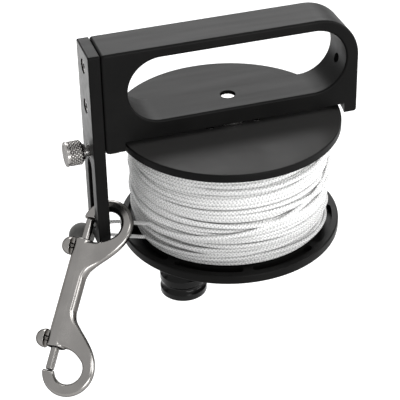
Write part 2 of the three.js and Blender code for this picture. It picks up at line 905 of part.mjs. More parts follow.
function windingPoints() {
  const points = [];
  const total = turnCount * turnSteps;
  for (let i = 0; i <= total; i += 1) {
    const angle = (2 * Math.PI * i) / turnSteps;
    const radius = layerRadiusAt(i / total);
    points.push(new THREE.Vector3(
      radius * Math.cos(angle),
      radius * Math.sin(angle),
      turnsTop + ((turnsFloor - turnsTop) * i) / total,
    ));
  }
  const first = points[0].clone().setZ(turnsTop + 2 * lineRadius);
  const last = points[total].clone().setZ(turnsFloor - 2 * lineRadius);
  return [first, ...points, last];
}

const winding = windingPoints();
console.log('least gap between the turns of line:', leastSelfGap(winding, lineRadius, turnSteps / 2));
addPiece('line_core', lineCore(), lineWhite);
addPiece('line_turns', wireThrough(winding, lineRadius, turnSides), lineWhite);

// Free end of the line: two strands to a knot behind the stopper ball
function strand(route) {
  const path = new THREE.CatmullRomCurve3(
    route.map(([x, y, z]) => new THREE.Vector3(x, y, z)),
    false,
    'centripetal',
  );
  const corners = [];
  for (let k = 0; k < strandSides; k += 1) {
    const angle = (2 * Math.PI * k) / strandSides;
    corners.push(new THREE.Vector2(lineRadius * Math.cos(angle), lineRadius * Math.sin(angle)));
  }
  return toSolid(new THREE.ExtrudeGeometry(new THREE.Shape(corners), {
    extrudePath: path,
    steps: Math.round(path.getLength() / (2 * lineRadius * strandStepDiameters)),
  }));
}

const knotOffset = stopperRadius + seatGap + knotRadius;
const knotCentre = stopperCentre.clone().addScaledVector(stopperLine, knotOffset);
const knot = new THREE.SphereGeometry(knotRadius, tinyFacets, tinyFacets / 2)
  .translate(knotCentre.x, knotCentre.y, knotCentre.z);
addPiece('line_end', toGeometry(
  strand(upperStrandRoute).add(strand(lowerStrandRoute)).add(toSolid(knot)),
), lineWhite);

function stopperBall() {
  const ball = new THREE.SphereGeometry(stopperRadius, smallFacets, smallFacets / 2)
    .rotateX(Math.PI / 2);
  const bore = rod(
    stopperBoreRadius,
    -stopperRadius - cutOverrun,
    stopperRadius + cutOverrun,
    tinyFacets,
  );
  return toGeometry(toSolid(ball).subtract(toSolid(bore)));
}

const stopper = addPiece('stopper_ball', stopperBall(), stopperGrey);
stopper.quaternion.setFromUnitVectors(new THREE.Vector3(0, 0, 1), stopperLine);
stopper.position.copy(stopperCentre);

// Bolt snap: its plane leans against the bar, so its own axes are turned by tilt, yaw and lean
function snapTurn() {
  const tilt = THREE.MathUtils.degToRad(snapTiltDeg);
  const yaw = THREE.MathUtils.degToRad(snapYawDeg);
  const lean = THREE.MathUtils.degToRad(snapLeanDeg);
  const across = new THREE.Vector3(Math.cos(yaw), Math.sin(yaw), 0);
  const inward = new THREE.Vector3(-Math.sin(yaw), Math.cos(yaw), 0);
  const along = new THREE.Vector3(0, 0, Math.cos(tilt)).addScaledVector(inward, Math.sin(tilt));
  const flat = new THREE.Matrix4().makeBasis(across, along, across.clone().cross(along));
  return flat.multiply(new THREE.Matrix4().makeRotationZ(-lean));
}

const snapGroup = new THREE.Group();
snapGroup.quaternion.setFromRotationMatrix(snapTurn());
const snapRingPlace = new THREE.Vector3(
  barLeft + snapRingInsideBar,
  midDepth - snapRingBeforeSlot,
  snapRingAboveSlotEnd - barSlotBottom,
);
const snapRingArm = new THREE.Vector3(ringOffset, ringReach, 0).applyQuaternion(snapGroup.quaternion);
snapGroup.position.copy(snapRingPlace).sub(snapRingArm);
object.add(snapGroup);

// Half of the plate's outline: over the window's floor, round the window, over the tip and down outside
function halfPlate() {
  const outerStart = THREE.MathUtils.degToRad(ringOuterStartDeg);
  const outerEnd = THREE.MathUtils.degToRad(ringOuterEndDeg);
  const tipEnd = boltTipReach + seatGap;
  const windowStart = -Math.asin(Math.min(1, ringInnerRadius / (ringReach - windowFloor)));
  const windowEnd = Math.PI - Math.asin((tipEnd - ringReach) / ringInnerRadius);
  const half = new THREE.Path();
  half.moveTo(-snapPlateLeft, windowFloor);
  half.lineTo(barrelRadius, windowFloor);
  half.quadraticCurveTo(
    ringOffset,
    windowFloor,
    ringOffset + ringInnerRadius * Math.cos(windowStart),
    ringReach + ringInnerRadius * Math.sin(windowStart),
  );
  half.absarc(ringOffset, ringReach, ringInnerRadius, windowStart, windowEnd);
  half.lineTo(-hookTipLeft, tipEnd);
  half.absarc(ringOffset, ringReach, ringOuterRadius, outerStart, outerEnd, true);
  shoulderShares.forEach(([side, up]) => {
    half.lineTo(side * (ringOffset + ringOuterRadius), up * ringReach);
  });
  return half.getPoints(snapDivisions);
}

function snapBody() {
  const upper = halfPlate();
  const lower = upper.map((point) => new THREE.Vector2(point.x, -point.y)).reverse();
  const plate = bevelled(new THREE.Shape([...upper, ...lower]), snapPlateThick, snapPlateEdge, 2, 1)
    .translate(0, 0, -snapPlateThick / 2);
  const barrelEnd = windowFloor + barrelOverhang;
  const barrel = turned([
    [0, -barrelEnd],
    [barrelRadius - barrelEdge, -barrelEnd],
    [barrelRadius, barrelEdge - barrelEnd],
    [barrelRadius, barrelEnd - barrelEdge],
    [barrelRadius - barrelEdge, barrelEnd],
    [0, barrelEnd],
  ], smallFacets).rotateX(-Math.PI / 2);
  const slotHalf = thumbNeckRadius + seatGap;
  const slotLength = boltTravel + 2 * slotHalf;
  const cutters = [1, -1].flatMap((end) => [
    rod(
      boltRadius + seatGap,
      end * barrelMiddleWall,
      end * (barrelEnd + cutOverrun),
      smallFacets,
    ).rotateX(-Math.PI / 2),
    new THREE.BoxGeometry(barrelRadius + cutOverrun, slotLength, 2 * slotHalf).translate(
      -(barrelRadius + cutOverrun) / 2,
      end * (thumbReach + slotHalf - slotLength / 2),
      0,
    ),
  ]);
  return toGeometry(cutAll(toSolid(plate).add(toSolid(barrel)), cutters));
}

// The sliding pieces are made for the upper end and turned over for the lower one
function snapBolt() {
  const low = boltTipReach - boltLength;
  return turned([
    [0, low],
    [boltRadius, low],
    [boltRadius, boltTipReach - boltTipEdge],
    [boltRadius - boltTipEdge, boltTipReach],
    [0, boltTipReach],
  ], smallFacets).rotateX(-Math.PI / 2);
}

// Thumb stud: a short neck beside the bolt and a domed cap, pointing to the left
function snapThumb() {
  const neckStart = boltRadius + seatGap;
  const capStart = neckStart + thumbNeckLength;
  return turned([
    [0, neckStart],
    [thumbNeckRadius, neckStart],
    [thumbNeckRadius, capStart],
    ...domeShares.map(([radiusShare, heightShare]) => [
      radiusShare * thumbCapRadius,
      capStart + heightShare * thumbCapHeight,
    ]),
  ], smallFacets).rotateY(-Math.PI / 2).translate(0, thumbReach, 0);
}

// Spring behind a bolt. Its two ends run straight for a wire's width.
function snapSpringPoints() {
  const endRun = 2 * snapSpringWire;
  const low = barrelMiddleWall + seatGap;
  const high = boltTipReach - boltLength - seatGap;
  const total = snapSpringCurls * snapSpringSteps;
  const points = [];
  for (let i = 0; i <= total; i += 1) {
    const angle = (2 * Math.PI * i) / snapSpringSteps;
    points.push(new THREE.Vector3(
      snapSpringRadius * Math.cos(angle),
      low + endRun + ((high - low - 2 * endRun) * i) / total,
      snapSpringRadius * Math.sin(angle),
    ));
  }
  const first = points[0].clone().setY(low);
  const last = points[total].clone().setY(high);
  return [first, ...points, last];
}

const springPoints = snapSpringPoints();
console.log(
  'least gap between the curls of a snap spring:',
  leastSelfGap(springPoints, snapSpringWire, snapSpringSteps / 2),
);
addPiece('snap_body', snapBody(), steel, snapGroup);
[['upper', 0], ['lower', Math.PI]].forEach(([name, turn]) => {
  const spring = wireThrough(springPoints, snapSpringWire, snapSpringSides);
  const pieces = [
    addPiece(`snap_bolt_${name}`, snapBolt(), steel, snapGroup),
    addPiece(`snap_thumb_${name}`, snapThumb(), steel, snapGroup),
    addPiece(`snap_spring_${name}`, spring, steel, snapGroup),
  ];
  pieces.forEach((piece) => {
    piece.rotation.x = turn;
  });
});

export default object;
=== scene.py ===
# A hand-held dive reel: a machined grip block with a side bar, a spool of braided white line on bearings,
# a knurled lock screw, a winding knob and a double-ended bolt snap. All sizes are in metres.
import math

import bmesh
import bpy
import numpy as np
from mathutils import Matrix, Vector
from mathutils.geometry import tessellate_polygon


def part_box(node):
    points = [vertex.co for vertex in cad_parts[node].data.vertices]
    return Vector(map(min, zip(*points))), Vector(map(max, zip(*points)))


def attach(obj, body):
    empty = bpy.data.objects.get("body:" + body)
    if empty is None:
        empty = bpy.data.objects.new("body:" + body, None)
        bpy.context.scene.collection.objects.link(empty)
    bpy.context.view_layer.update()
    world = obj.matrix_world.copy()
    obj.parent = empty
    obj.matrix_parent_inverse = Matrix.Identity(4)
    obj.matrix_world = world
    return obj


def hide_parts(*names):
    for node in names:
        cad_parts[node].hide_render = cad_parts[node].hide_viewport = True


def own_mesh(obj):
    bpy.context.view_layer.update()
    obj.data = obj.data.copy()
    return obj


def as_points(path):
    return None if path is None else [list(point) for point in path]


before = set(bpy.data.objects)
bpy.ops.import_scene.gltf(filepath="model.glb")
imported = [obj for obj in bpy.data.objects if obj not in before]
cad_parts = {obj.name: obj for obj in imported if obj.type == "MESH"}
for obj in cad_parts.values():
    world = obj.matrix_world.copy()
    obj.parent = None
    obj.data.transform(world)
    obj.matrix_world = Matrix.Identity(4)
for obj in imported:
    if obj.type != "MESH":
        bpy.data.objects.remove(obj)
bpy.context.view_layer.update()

MM = 0.001
GAP = 0.3 * MM
CUT_OVERRUN = 2 * MM
SMALL_EDGE = 0.3 * MM
FINE_EDGE = 0.2 * MM
LARGE_FACETS = 240
MIDDLE_FACETS = 96
ROUND_SHARP = 60

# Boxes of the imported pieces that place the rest
block_low, block_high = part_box("grip_block")
bar_low, bar_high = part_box("side_bar")
flange_low, flange_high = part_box("top_flange")
base_low, base_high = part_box("bottom_flange")
knob_low, knob_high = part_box("winding_knob")
knob_middle = (knob_low + knob_high) / 2
screw_knob_low, screw_knob_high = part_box("lock_knob")

# Grip block
FRONT = bar_low.y
BACK = bar_high.y
MID_DEPTH = (FRONT + BACK) / 2
BLOCK_EDGE = 1.2 * MM
BLOCK_CORNER = 0.5 * MM
OUTER_CORNER = 24.3 * MM
GRIP_TOP_THICK = 6.2 * MM
GRIP_HOLE_HEIGHT = 37.2 * MM
GRIP_LEFT_WALL = 13.5 * MM
GRIP_RIGHT_WALL = 7 * MM
LOWER_BAR_THICK = 9.5 * MM
PLATE_CENTRE = Vector((-8.4 * MM, -23.3 * MM, 0))
PLATE_RADIUS = block_high.y - PLATE_CENTRE.y
PLATE_EDGE = 1 * MM
POCKET_SIDE_GAP = 2 * MM
CORD_HOLE_RADIUS = 2.65 * MM
CORD_HOLE_DROP = 30.5 * MM

# Side bar and its screws
BAR_EDGE = 0.8 * MM
BAR_END_ROUND = 3 * MM
BAR_SLOT_TOP = 67.2 * MM
BAR_SLOT_BOTTOM = 111.5 * MM
BAR_SLOT_WIDTH = 8.3 * MM
BAR_SCREW_DROPS = {"upper": 10.4 * MM, "lower": 34.1 * MM}
BAR_SCREW_HEAD = 3.9 * MM
BAR_SCREW_HEAD_THICK = 2.3 * MM
BAR_SCREW_SINK = 0.5 * MM
BAR_SCREW_SHANK = 2.5 * MM
BAR_SCREW_REACH = 10.5 * MM
BAR_SCREW_HEX = 1.7 * MM
BAR_SCREW_HEX_DEPTH = 0.9 * MM
BAR_SCREW_SIDE_GAP = 0.2 * MM

# Lock screw
LOCK_DROP = 61.6 * MM
LOCK_STUD = 2.9 * MM
LOCK_BORE = LOCK_STUD + GAP
LOCK_INSERT_WALL = 0.8 * MM
LOCK_PAD = 4.2 * MM
LOCK_PAD_SOCKET = 3.5 * MM
LOCK_PAD_ROUND = 0.8 * MM
LOCK_GROOVE = LOCK_PAD + 0.5 * MM
LOCK_RIM = 1.3 * MM
LOCK_NECK = 4.2 * MM
LOCK_NECK_LENGTH = 1.2 * MM
LOCK_BORE_DEPTH = 7.3 * MM
LOCK_DISH_DEPTH = 0.25 * MM
LOCK_DISH_INSET = 1.9 * MM
LOCK_LIP = 1.5 * MM
LOCK_SHOULDER = 1.3 * MM
LOCK_SHOULDER_RISE = 0.9 * MM
LOCK_FACE_EDGE = 0.6 * MM
LOCK_NECK_EDGE = 0.25 * MM
TURNED_EDGE = 0.15 * MM
GROOVE_EDGE = 0.1 * MM
GROOVE_SLOPE_LEFT = 0.3 * MM
GROOVE_SLOPE_RIGHT = 0.25 * MM
KNURL_COUNT = 20
KNURL_STEPS = 14
KNURL_ROWS = 64
KNURL_DEPTH = 0.6 * MM
KNURL_GROOVE = 0.45 * MM
KNURL_FLANK = 0.55

# Spool
FLANGE_RADIUS = flange_high.x
FLANGE_EDGE = 0.9 * MM
HUB_RADIUS = 19 * MM
HUB_BORE = 9.5 * MM
BEARING_RADIUS = 11 * MM
POCKET_COUNT = 8
POCKET_RIM = 3.6 * MM
POCKET_WIDTH = 5.2 * MM
POCKET_DEPTH = 3.4 * MM
POCKET_RIB = 4.6 * MM
POCKET_TURN = math.radians(-8)

# Axle, washers and screws of the spool
AXLE_RADIUS = 4 * MM
AXLE_BORE = AXLE_RADIUS + GAP
AXLE_HEX = 2.9 * MM
AXLE_HEX_DEPTH = 2.6 * MM
AXLE_EDGE = 0.5 * MM
RACE_THICK = 1.8 * MM
RACE_EDGE = 0.25 * MM
SHIELD_INSET = 0.4 * MM
FLANGE_SCREW_HEAD = 2.9 * MM
FLANGE_SCREW_HEAD_THICK = 2 * MM
FLANGE_SCREW_SHANK = 1.5 * MM
FLANGE_SCREW_HEX = 1.1 * MM
FLANGE_SCREW_HEX_DEPTH = 1 * MM
FLANGE_SCREW_COUNT = 3

# Winding knob and its spindle
KNOB_COVE_DEPTH = 1.7 * MM
KNOB_BAND = 3.5 * MM
KNOB_COVE = 5.3 * MM
KNOB_RIM = 3.6 * MM
KNOB_EDGE = 0.5 * MM
KNOB_RIM_EDGE = 0.8 * MM
KNOB_BAND_EDGE = 0.35 * MM
COVE_STEPS = 16
SPINDLE_RADIUS = 2.5 * MM
SPINDLE_HEX = 1.8 * MM
SPINDLE_HEX_DEPTH = 1.6 * MM

# Line
LINE_RADIUS = 1 * MM
LINE_DIAMETER = 2 * LINE_RADIUS
LAYER_TOP = -64.1 * MM
LAYER_BOTTOM = -118.7 * MM
LAYER_INSET = 8.1 * MM
LAYER_BULGE = 1.1 * MM
LAYER_TAPER = 0.5 * MM
CORE_BELOW_LAYER = 5.3 * MM
DRAWN_RADIUS = 1.2 * LINE_RADIUS
TURNS_CLEAR = 0.2 * MM
CEILING_OF_TURNS = flange_low.z - LINE_RADIUS - TURNS_CLEAR
FLOOR_OF_TURNS = base_high.z + LINE_RADIUS + TURNS_CLEAR
TURN_COLUMNS = 180
TURN_SIDES = 10
SQUEEZED = 0.82 * LINE_DIAMETER
SLACK = 0.22 * MM
LAST_CLIMB = 0.7
TAIL_TURN = 0.22
TAIL_SINK = 1.6 * LINE_RADIUS
TAIL_DROP = 1.5 * MM
TAIL_EASE = 0.8
CORE_ROWS = 24
HEIGHT_SOFTENING = 9
RADIUS_SOFTENING = 5
SLACK_SEED = 11
TAUT_REACHES = (24, 16, 8, 4, 2, 1)

# The wound turns' limit, in line radii: how far it lies past the upper strand's start, how much it dips
# at the strand's height, and the reach over which the dip fades, which it does up to STRAND_FULL reaches
STRAND_OVER = 3
STRAND_DIP = 5.4
STRAND_REACH = 2.2
STRAND_FULL = 1.5

# What drifts along a run: the turns between its values, and their lowest and highest
SWAY_RATE = (3, 0.9, 1.1)
SWAY_AMOUNT = (4, 0.35, 1)
SWAY_SHIFT = (5, -2, 2)

# A second, quicker sway's share and rate, and the share of the room to a flange that a sway may take
SECOND_SWAY = 0.3
SECOND_RATE = 2.3
SWAY_ROOM = 0.8

# Runs of turns from one flange to the other: their pitches, how far they sway, and a seed
TURN_RUNS = [
    ([1] * 28, 0.2 * MM, 1),
    ([1, 1, 1.1, 1, 1.3, 1, 1, 0.9, 1.2, 1, 1, 1.4, 1, 1, 1.1, 1, 1, 1.2, 1, 1, 1], 1.6 * MM, 2),
    ([1, 1.2, 0.8, 1.6, 1, 0.7, 1.9, 0.9, 1, 1.7, 0.8, 1.3, 1, 1], 3 * MM, 5),
    ([1, 1.4, 0.7, 1.8, 0.8, 1.2, 2.1, 0.8, 1.1], 3.5 * MM, 8),
]

# Free end of the line: the routes' points are listed
UPPER_STRAND = [
    (-0.053, -0.022, -0.1029), (-0.0588, -0.0124, -0.107), (-0.0656, -0.0054, -0.1092),
    (-0.071, -0.0033, -0.1096), (-0.0767, -0.00305, -0.1095), (-0.0808, -0.0026, -0.1099),
    (-0.0829, 0, -0.1122), (-0.0826, 0.004, -0.1162), (-0.081, 0.0076, -0.1205),
    (-0.0849, 0.0113, -0.1256), (-0.0901, 0.0163, -0.1325),
]
LOWER_STRAND = [
    (-0.0541, -0.0176, -0.1142), (-0.0596, -0.0098, -0.1176), (-0.0652, -0.0024, -0.1204),
    (-0.0706, 0.0031, -0.122), (-0.0754, 0.0066, -0.1209), (-0.0795, 0.0092, -0.1209),
    (-0.0833, 0.0129, -0.1256), (-0.0885, 0.0179, -0.1325),
]
STOPPER_CENTRE = Vector((-0.0841, 0.0121, -0.1256))
STOPPER_LINE = Vector((-0.52, 0.5, -0.69)).normalized()
STOPPER_RADIUS = 7.4 * MM
STOPPER_BORE = 2.8 * MM
STOPPER_STEP = 0.1 * MM
STOPPER_MOUTH = 0.6 * MM
KNOT_RADIUS = 3.1 * MM
KNOT_LINE = 0.95 * LINE_RADIUS
KNOT_FLATNESS = 0.75
KNOT_POINTS = 97
ROUTE_SPACING = 0.5 * MM
ROUTE_STEPS = 24
STRAND_SIDES = 12

# Bolt snap, in its own plane: x to the right of the bolts' axis, y up that axis, z out of the plate
SNAP_TILT = math.radians(51.2)
SNAP_YAW = math.radians(-40.8)
SNAP_LEAN = math.radians(-3.4)
SNAP_CENTRE = Vector((-101.7, -32.1, -131.4)) * MM
PLATE_THICK = 5 * MM
PLATE_LEFT = 3.6 * MM
RING_OFFSET = 10.6 * MM
RING_REACH = 41.1 * MM
RING_OUTER = 14.8 * MM
RING_INNER = 8.1 * MM
RING_START = math.radians(167)
RING_END = math.radians(-15)
HOOK_TIP_LEFT = 3.3 * MM
WINDOW_FLOOR = 30.2 * MM
BARREL_RADIUS = 5.4 * MM
BARREL_END = WINDOW_FLOOR + 0.5 * MM
BOLT_RADIUS = 2.3 * MM
BOLT_LENGTH = 21.2 * MM
BOLT_TIP = 43 * MM
BOLT_TRAVEL = 9.5 * MM
BOLT_NOSE = 0.7 * MM
BARREL_MIDDLE = 3 * MM
FACE_SLOPE = math.radians(18)
FACE_BLEND = 0.8 * MM
BARREL_EDGE = 0.8 * MM
BARREL_RIGHT = 3.2 * MM
BARREL_FADE = 16 * MM
PLATE_EDGE_ROUND = 1.8 * MM
RING_EDGE_MORE = 0.6 * MM
RING_BEGINS = 0.66 * RING_REACH
RING_BLEND = 0.26 * RING_REACH
BODY_BLEND = 0.04 * MM
RING_BLEND_MORE = 0.4 * MM
OUTLINE_SPACING = 0.8 * MM
VOXEL = 0.32 * MM
FIT_ROUNDS = 6
FIT_NUDGE = 0.02 * MM
FIT_STEP = 0.4 * MM
FIT_FLATTEST = 0.2
SHADE_NUDGE = 0.1 * MM
ON_SHAPE = 0.04 * MM
FACE_TURN = math.radians(40)
THUMB_REACH = 26.6 * MM
THUMB_NECK = 1.5 * MM
THUMB_NECK_LENGTH = 3.9 * MM
THUMB_CAP = 5.2 * MM
THUMB_CAP_HEIGHT = 5.8 * MM
THUMB_CAP_RIM = 0.6 * MM
THUMB_FLARE = 0.5 * MM
THUMB_FLARE_EDGE = 0.4 * MM
DOME_START = 0.12
DOME_POWER = 0.85
DOME_POINTS = 15
SPRING_WIRE = 0.35 * MM
SPRING_RADIUS = 1.8 * MM
SPRING_CURLS = 9
SPRING_STEPS = 24
SPRING_SIDES = 8

# Grid for distances from the body's outline, in millimetres
GRID_STEP = 0.25
GRID_SPAN_X = (-10, 30)
GRID_SPAN_Y = (-60, 60)

# The body's edge from the ring down to the barrel, as shares of the ring's reach to the side and along
SHOULDER_SHARES = [
    (0.936, 0.822), (0.815, 0.695), (0.64, 0.568), (0.43, 0.438), (0.275, 0.33), (0.223, 0.236),
]

# Camera, solved from the photograph's edges
CAMERA_PLACE = Vector((-0.22802, -0.69405, 0.36088))
CAMERA_AZIMUTH = math.radians(-16.899)
CAMERA_ELEVATION = math.radians(32.913)
CAMERA_ROLL = math.radians(-1.345)
CAMERA_LENS = 137.39
SENSOR_WIDTH = 36


def add_camera():
    right = Vector((math.cos(CAMERA_AZIMUTH), math.sin(CAMERA_AZIMUTH), 0))
    level = Vector((right.y, -right.x, 0))
    back = level * math.cos(CAMERA_ELEVATION) + Vector((0, 0, math.sin(CAMERA_ELEVATION)))
    up = back.cross(right)
    rolled_right = right * math.cos(CAMERA_ROLL) + up * math.sin(CAMERA_ROLL)
    rolled_up = back.cross(rolled_right)
    data = bpy.data.cameras.new("camera")
    data.lens = CAMERA_LENS
    data.sensor_width = SENSOR_WIDTH
    data.sensor_fit = "HORIZONTAL"
    data.clip_start = 0.01
    data.clip_end = 50
    camera = add_object("camera", data)
    turn = Matrix((rolled_right, rolled_up, back)).transposed().to_4x4()
    camera.matrix_world = Matrix.Translation(CAMERA_PLACE) @ turn
    bpy.context.scene.camera = camera


# Mesh helpers

def add_object(name, data):
    made = bpy.data.objects.new(name, data)
    bpy.context.scene.collection.objects.link(made)
    return made


def add_mesh(name, points, faces):
    mesh = bpy.data.meshes.new(name)
    mesh.from_pydata([tuple(point) for point in points], [], faces)
    return add_object(name, mesh)


def set_points(piece, points):
    piece.data.vertices.foreach_set("co", np.asarray(points, np.float32).ravel())
    piece.data.update()


def get_points(piece):
    flat = np.zeros(len(piece.data.vertices) * 3, np.float32)
    piece.data.vertices.foreach_get("co", flat)
    return flat.reshape(-1, 3).astype(float)


def clean(piece):
    """Merges doubled points and turns every face outwards."""
    same_place = 1e-7
    made = bmesh.new()
    made.from_mesh(piece.data)
    bmesh.ops.remove_doubles(made, verts=made.verts, dist=same_place)
    bmesh.ops.dissolve_degenerate(made, edges=made.edges, dist=same_place)
    bmesh.ops.recalc_face_normals(made, faces=made.faces)
    made.to_mesh(piece.data)
    made.free()
    return piece


def bake(piece):
    """Applies the modifiers."""
    graph = bpy.context.evaluated_depsgraph_get()
    made = bpy.data.meshes.new_from_object(piece.evaluated_get(graph))
    piece.modifiers.clear()
    piece.data = made
    return piece


def combine(piece, other, operation="DIFFERENCE"):
    modifier = piece.modifiers.new("combine", "BOOLEAN")
    modifier.object = other
    modifier.operation = operation
    modifier.solver = "EXACT"
    bake(piece)
    bpy.data.objects.remove(other)
    return piece


def shade(piece, sharp_angle=32, edge=0.0):
    """Smooth shading that keeps flat faces flat, with a small rounded edge where one is asked for."""
    if edge:
        bevel = piece.modifiers.new("edge", "BEVEL")
        bevel.width = edge
        bevel.segments = 2
        bevel.limit_method = "ANGLE"
        bevel.angle_limit = math.radians(38)
        bevel.use_clamp_overlap = True
        bake(piece)
    piece.data.shade_smooth()
    piece.data.set_sharp_from_angle(angle=math.radians(sharp_angle))
    weighted = piece.modifiers.new("normals", "WEIGHTED_NORMAL")
    weighted.keep_sharp = True
    return piece


def arc(centre, radius, start, end, steps):
    """Points on an arc, both ends included."""
    return [
        (centre[0] + radius * math.cos(a), centre[1] + radius * math.sin(a))
        for a in np.linspace(start, end, steps + 1)
    ]


def filleted(corners, steps=4):
    """A closed outline. A corner is (x, y), or (x, y, radius) where it is rounded."""
    made = []
    for i, (x, y, *rounding) in enumerate(corners):
        if not rounding:
            made.append((x, y))
            continue
        radius = rounding[0]
        here = Vector((x, y))
        before = (Vector(corners[i - 1][:2]) - here).normalized()
        after = (Vector(corners[(i + 1) % len(corners)][:2]) - here).normalized()
        half = before.angle(after) / 2
        reach = radius / math.tan(half)
        centre = here + (before + after).normalized() * (radius / math.sin(half))
        first = here + before * reach - centre
        last = here + after * reach - centre
        sweep = first.angle_signed(last)
        for k in range(steps + 1):
            arm = Matrix.Rotation(-sweep * k / steps, 2) @ first
            made.append(tuple(centre + arm))
    return made


def turned_grid(name, radii, heights):
    """A piece turned about Z whose radii, a row for each angle, may vary round it."""
    facets, rows = radii.shape
    angles = np.arange(facets) * 2 * math.pi / facets
    points = np.zeros((facets, rows, 3))
    points[..., 0] = np.cos(angles)[:, None] * radii
    points[..., 1] = np.sin(angles)[:, None] * radii
    points[..., 2] = heights
    faces = []
    for i in range(facets):
        here = i * rows
        there = (i + 1) % facets * rows
        for k in range(rows):
            above = (k + 1) % rows
            if radii[0, k] > 0 or radii[0, above] > 0:
                faces.append((here + k, there + k, there + above, here + above))
    return clean(add_mesh(name, points.reshape(-1, 3), faces))


def turned(name, profile, facets=64):
    """A piece turned about Z. The profile is a closed list of (radius, height)."""
    radii = np.tile([max(radius, 0) for radius, height in profile], (facets, 1))
    return turned_grid(name, radii, np.array([height for radius, height in profile]))


def lathe(name, corners, steps=4, facets=64):
    """A turned piece whose outline has rounded corners, each (radius, height) or with a rounding."""
    return turned(name, filleted(corners, steps), facets)


def ring(name, inner, outer, low, high, edge=SMALL_EDGE, facets=64):
    """A turned ring with all four edges rounded."""
    corners = [(inner, low, edge), (outer, low, edge), (outer, high, edge), (inner, high, edge)]
    return lathe(name, corners, 3, facets)


def rod(radius, low, high, facets=48):
    return turned("rod", [(0, low), (radius, low), (radius, high), (0, high)], facets)


def along_x(piece):
    piece.data.transform(Matrix.Rotation(math.pi / 2, 4, "Y"))
    return piece


def moved(piece, x=0, y=0, z=0):
    piece.data.transform(Matrix.Translation((x, y, z)))
    return piece


def socket(piece, radius, low, high):
    """Cuts a hexagon socket along Z, its corners as far out as the radius."""
    return combine(piece, rod(radius, low, high, facets=6))


def rounded_rectangle(x_low, x_high, y_low, y_high, radii, inset=0.0, steps=16):
    """Anticlockwise outline. The radii are of the corners at low-low, high-low, high-high and low-high."""
    corners = [
        (x_low + inset, y_low + inset, 1, 1, math.pi),
        (x_high - inset, y_low + inset, -1, 1, 1.5 * math.pi),
        (x_high - inset, y_high - inset, -1, -1, 0),
        (x_low + inset, y_high - inset, 1, -1, 0.5 * math.pi),
    ]
    made = []
    for (x, y, side, rise, start), radius in zip(corners, radii):
        left = radius - inset
        centre = (x + side * left, y + rise * left)
        made += arc(centre, left, start, start + math.pi / 2, steps if radius > 3 * MM else 4)
    return made


def inset_outline(*sides, radii, steps):
    """The function that gives a slab its rounded rectangle for an inset."""
    return lambda inset: rounded_rectangle(*sides, radii, inset, steps)


def slab(name, outer, hole, depth, edge):
    """A plate between two depths with rounded edges. Outer and hole give the outline for an inset."""
    edge_steps = 4
    levels = []
    for k in range(edge_steps + 1):
        angle = math.pi / 2 * k / edge_steps
        levels.append((edge * (1 - math.sin(angle)), edge * (1 - math.cos(angle))))
    levels += [(inset, depth - reach) for inset, reach in reversed(levels)]
    points = []
    faces = []
    caps = []
    for outline, sign in ((outer, 1), (hole, -1)):
        first = len(points)
        for inset, reach in levels:
            rim = outline(sign * inset)
            points += [(x, y, reach) for x, y in rim]
        count = len(rim)
        for level in range(len(levels) - 1):
            for k in range(count):
                a = first + level * count + k
                b = first + level * count + (k + 1) % count
                faces.append((a, b, b + count, a + count))
        caps.append((first, count))
    for level in (0, len(levels) - 1):
        loops = [[first + level * count + k for k in range(count)] for first, count in caps]
        places = [i for loop in loops for i in loop]
        flat = tessellate_polygon([[Vector(points[i]) for i in loop] for loop in loops])
        faces += [tuple(places[i] for i in triangle) for triangle in flat]
    return clean(add_mesh(name, points, faces))


def prism(name, outline, low, high):
    """An outline pulled up along Z between two heights."""
    count = len(outline)
    points = [(x, y, height) for height in (low, high) for x, y in outline]
    faces = [(k, (k + 1) % count, (k + 1) % count + count, k + count) for k in range(count)]
    faces += [tuple(range(count)), tuple(range(count, 2 * count))]
    return clean(add_mesh(name, points, faces))


def cutting_box(low, high):
    outline = [(low[0], low[1]), (high[0], low[1]), (high[0], high[1]), (low[0], high[1])]
    return prism("cutter", outline, low[2], high[2])


def tube(name, points, radius, sides, outward):
    """A round tube through points. Outward gives a direction at each point that keeps it from twisting."""
    points = np.asarray(points, float)
    along = np.gradient(points, axis=0)
    along /= np.linalg.norm(along, axis=1)[:, None]
    side = outward - (outward * along).sum(1)[:, None] * along
    side /= np.linalg.norm(side, axis=1)[:, None]
    other = np.cross(along, side)
    angles = np.arange(sides) * 2 * math.pi / sides
    rings = (
        points[:, None]
        + radius * np.cos(angles)[None, :, None] * side[:, None]
        + radius * np.sin(angles)[None, :, None] * other[:, None]
    )
    count = len(points)
    first = np.arange(count - 1)[:, None] * sides
    k = np.arange(sides)[None]
    following = (k + 1) % sides
    quads = np.stack(
        [first + k, first + following, first + following + sides, first + k + sides], axis=-1
    ).reshape(-1, 4)
    faces = quads.tolist()
    faces += [list(range(sides - 1, -1, -1)), list(range((count - 1) * sides, count * sides))]
    made = add_mesh(name, rings.reshape(-1, 3), faces)
    reach = np.concatenate([[0], np.cumsum(np.linalg.norm(np.diff(points, axis=0), axis=1))])
    reach /= 2 * math.pi * radius
    unwrap = made.data.uv_layers.new(name="unwrap")
    u = np.stack([reach[:-1], reach[:-1], reach[1:], reach[1:]], axis=-1)
    u = np.repeat(u[:, None], sides, axis=1).reshape(-1)
    v = np.stack([k[0], k[0] + 1, k[0] + 1, k[0]], axis=-1) / sides
    v = np.tile(v[None], (count - 1, 1, 1)).reshape(-1)
    flat = np.zeros(len(made.data.loops) * 2, np.float32)
    flat[: 2 * len(u)] = np.stack([u, v], axis=-1).ravel()
    unwrap.data.foreach_set("uv", flat)
    return made


# Materials

def shader_input(made, name):
    return made.node_tree.nodes["Principled BSDF"].inputs[name]


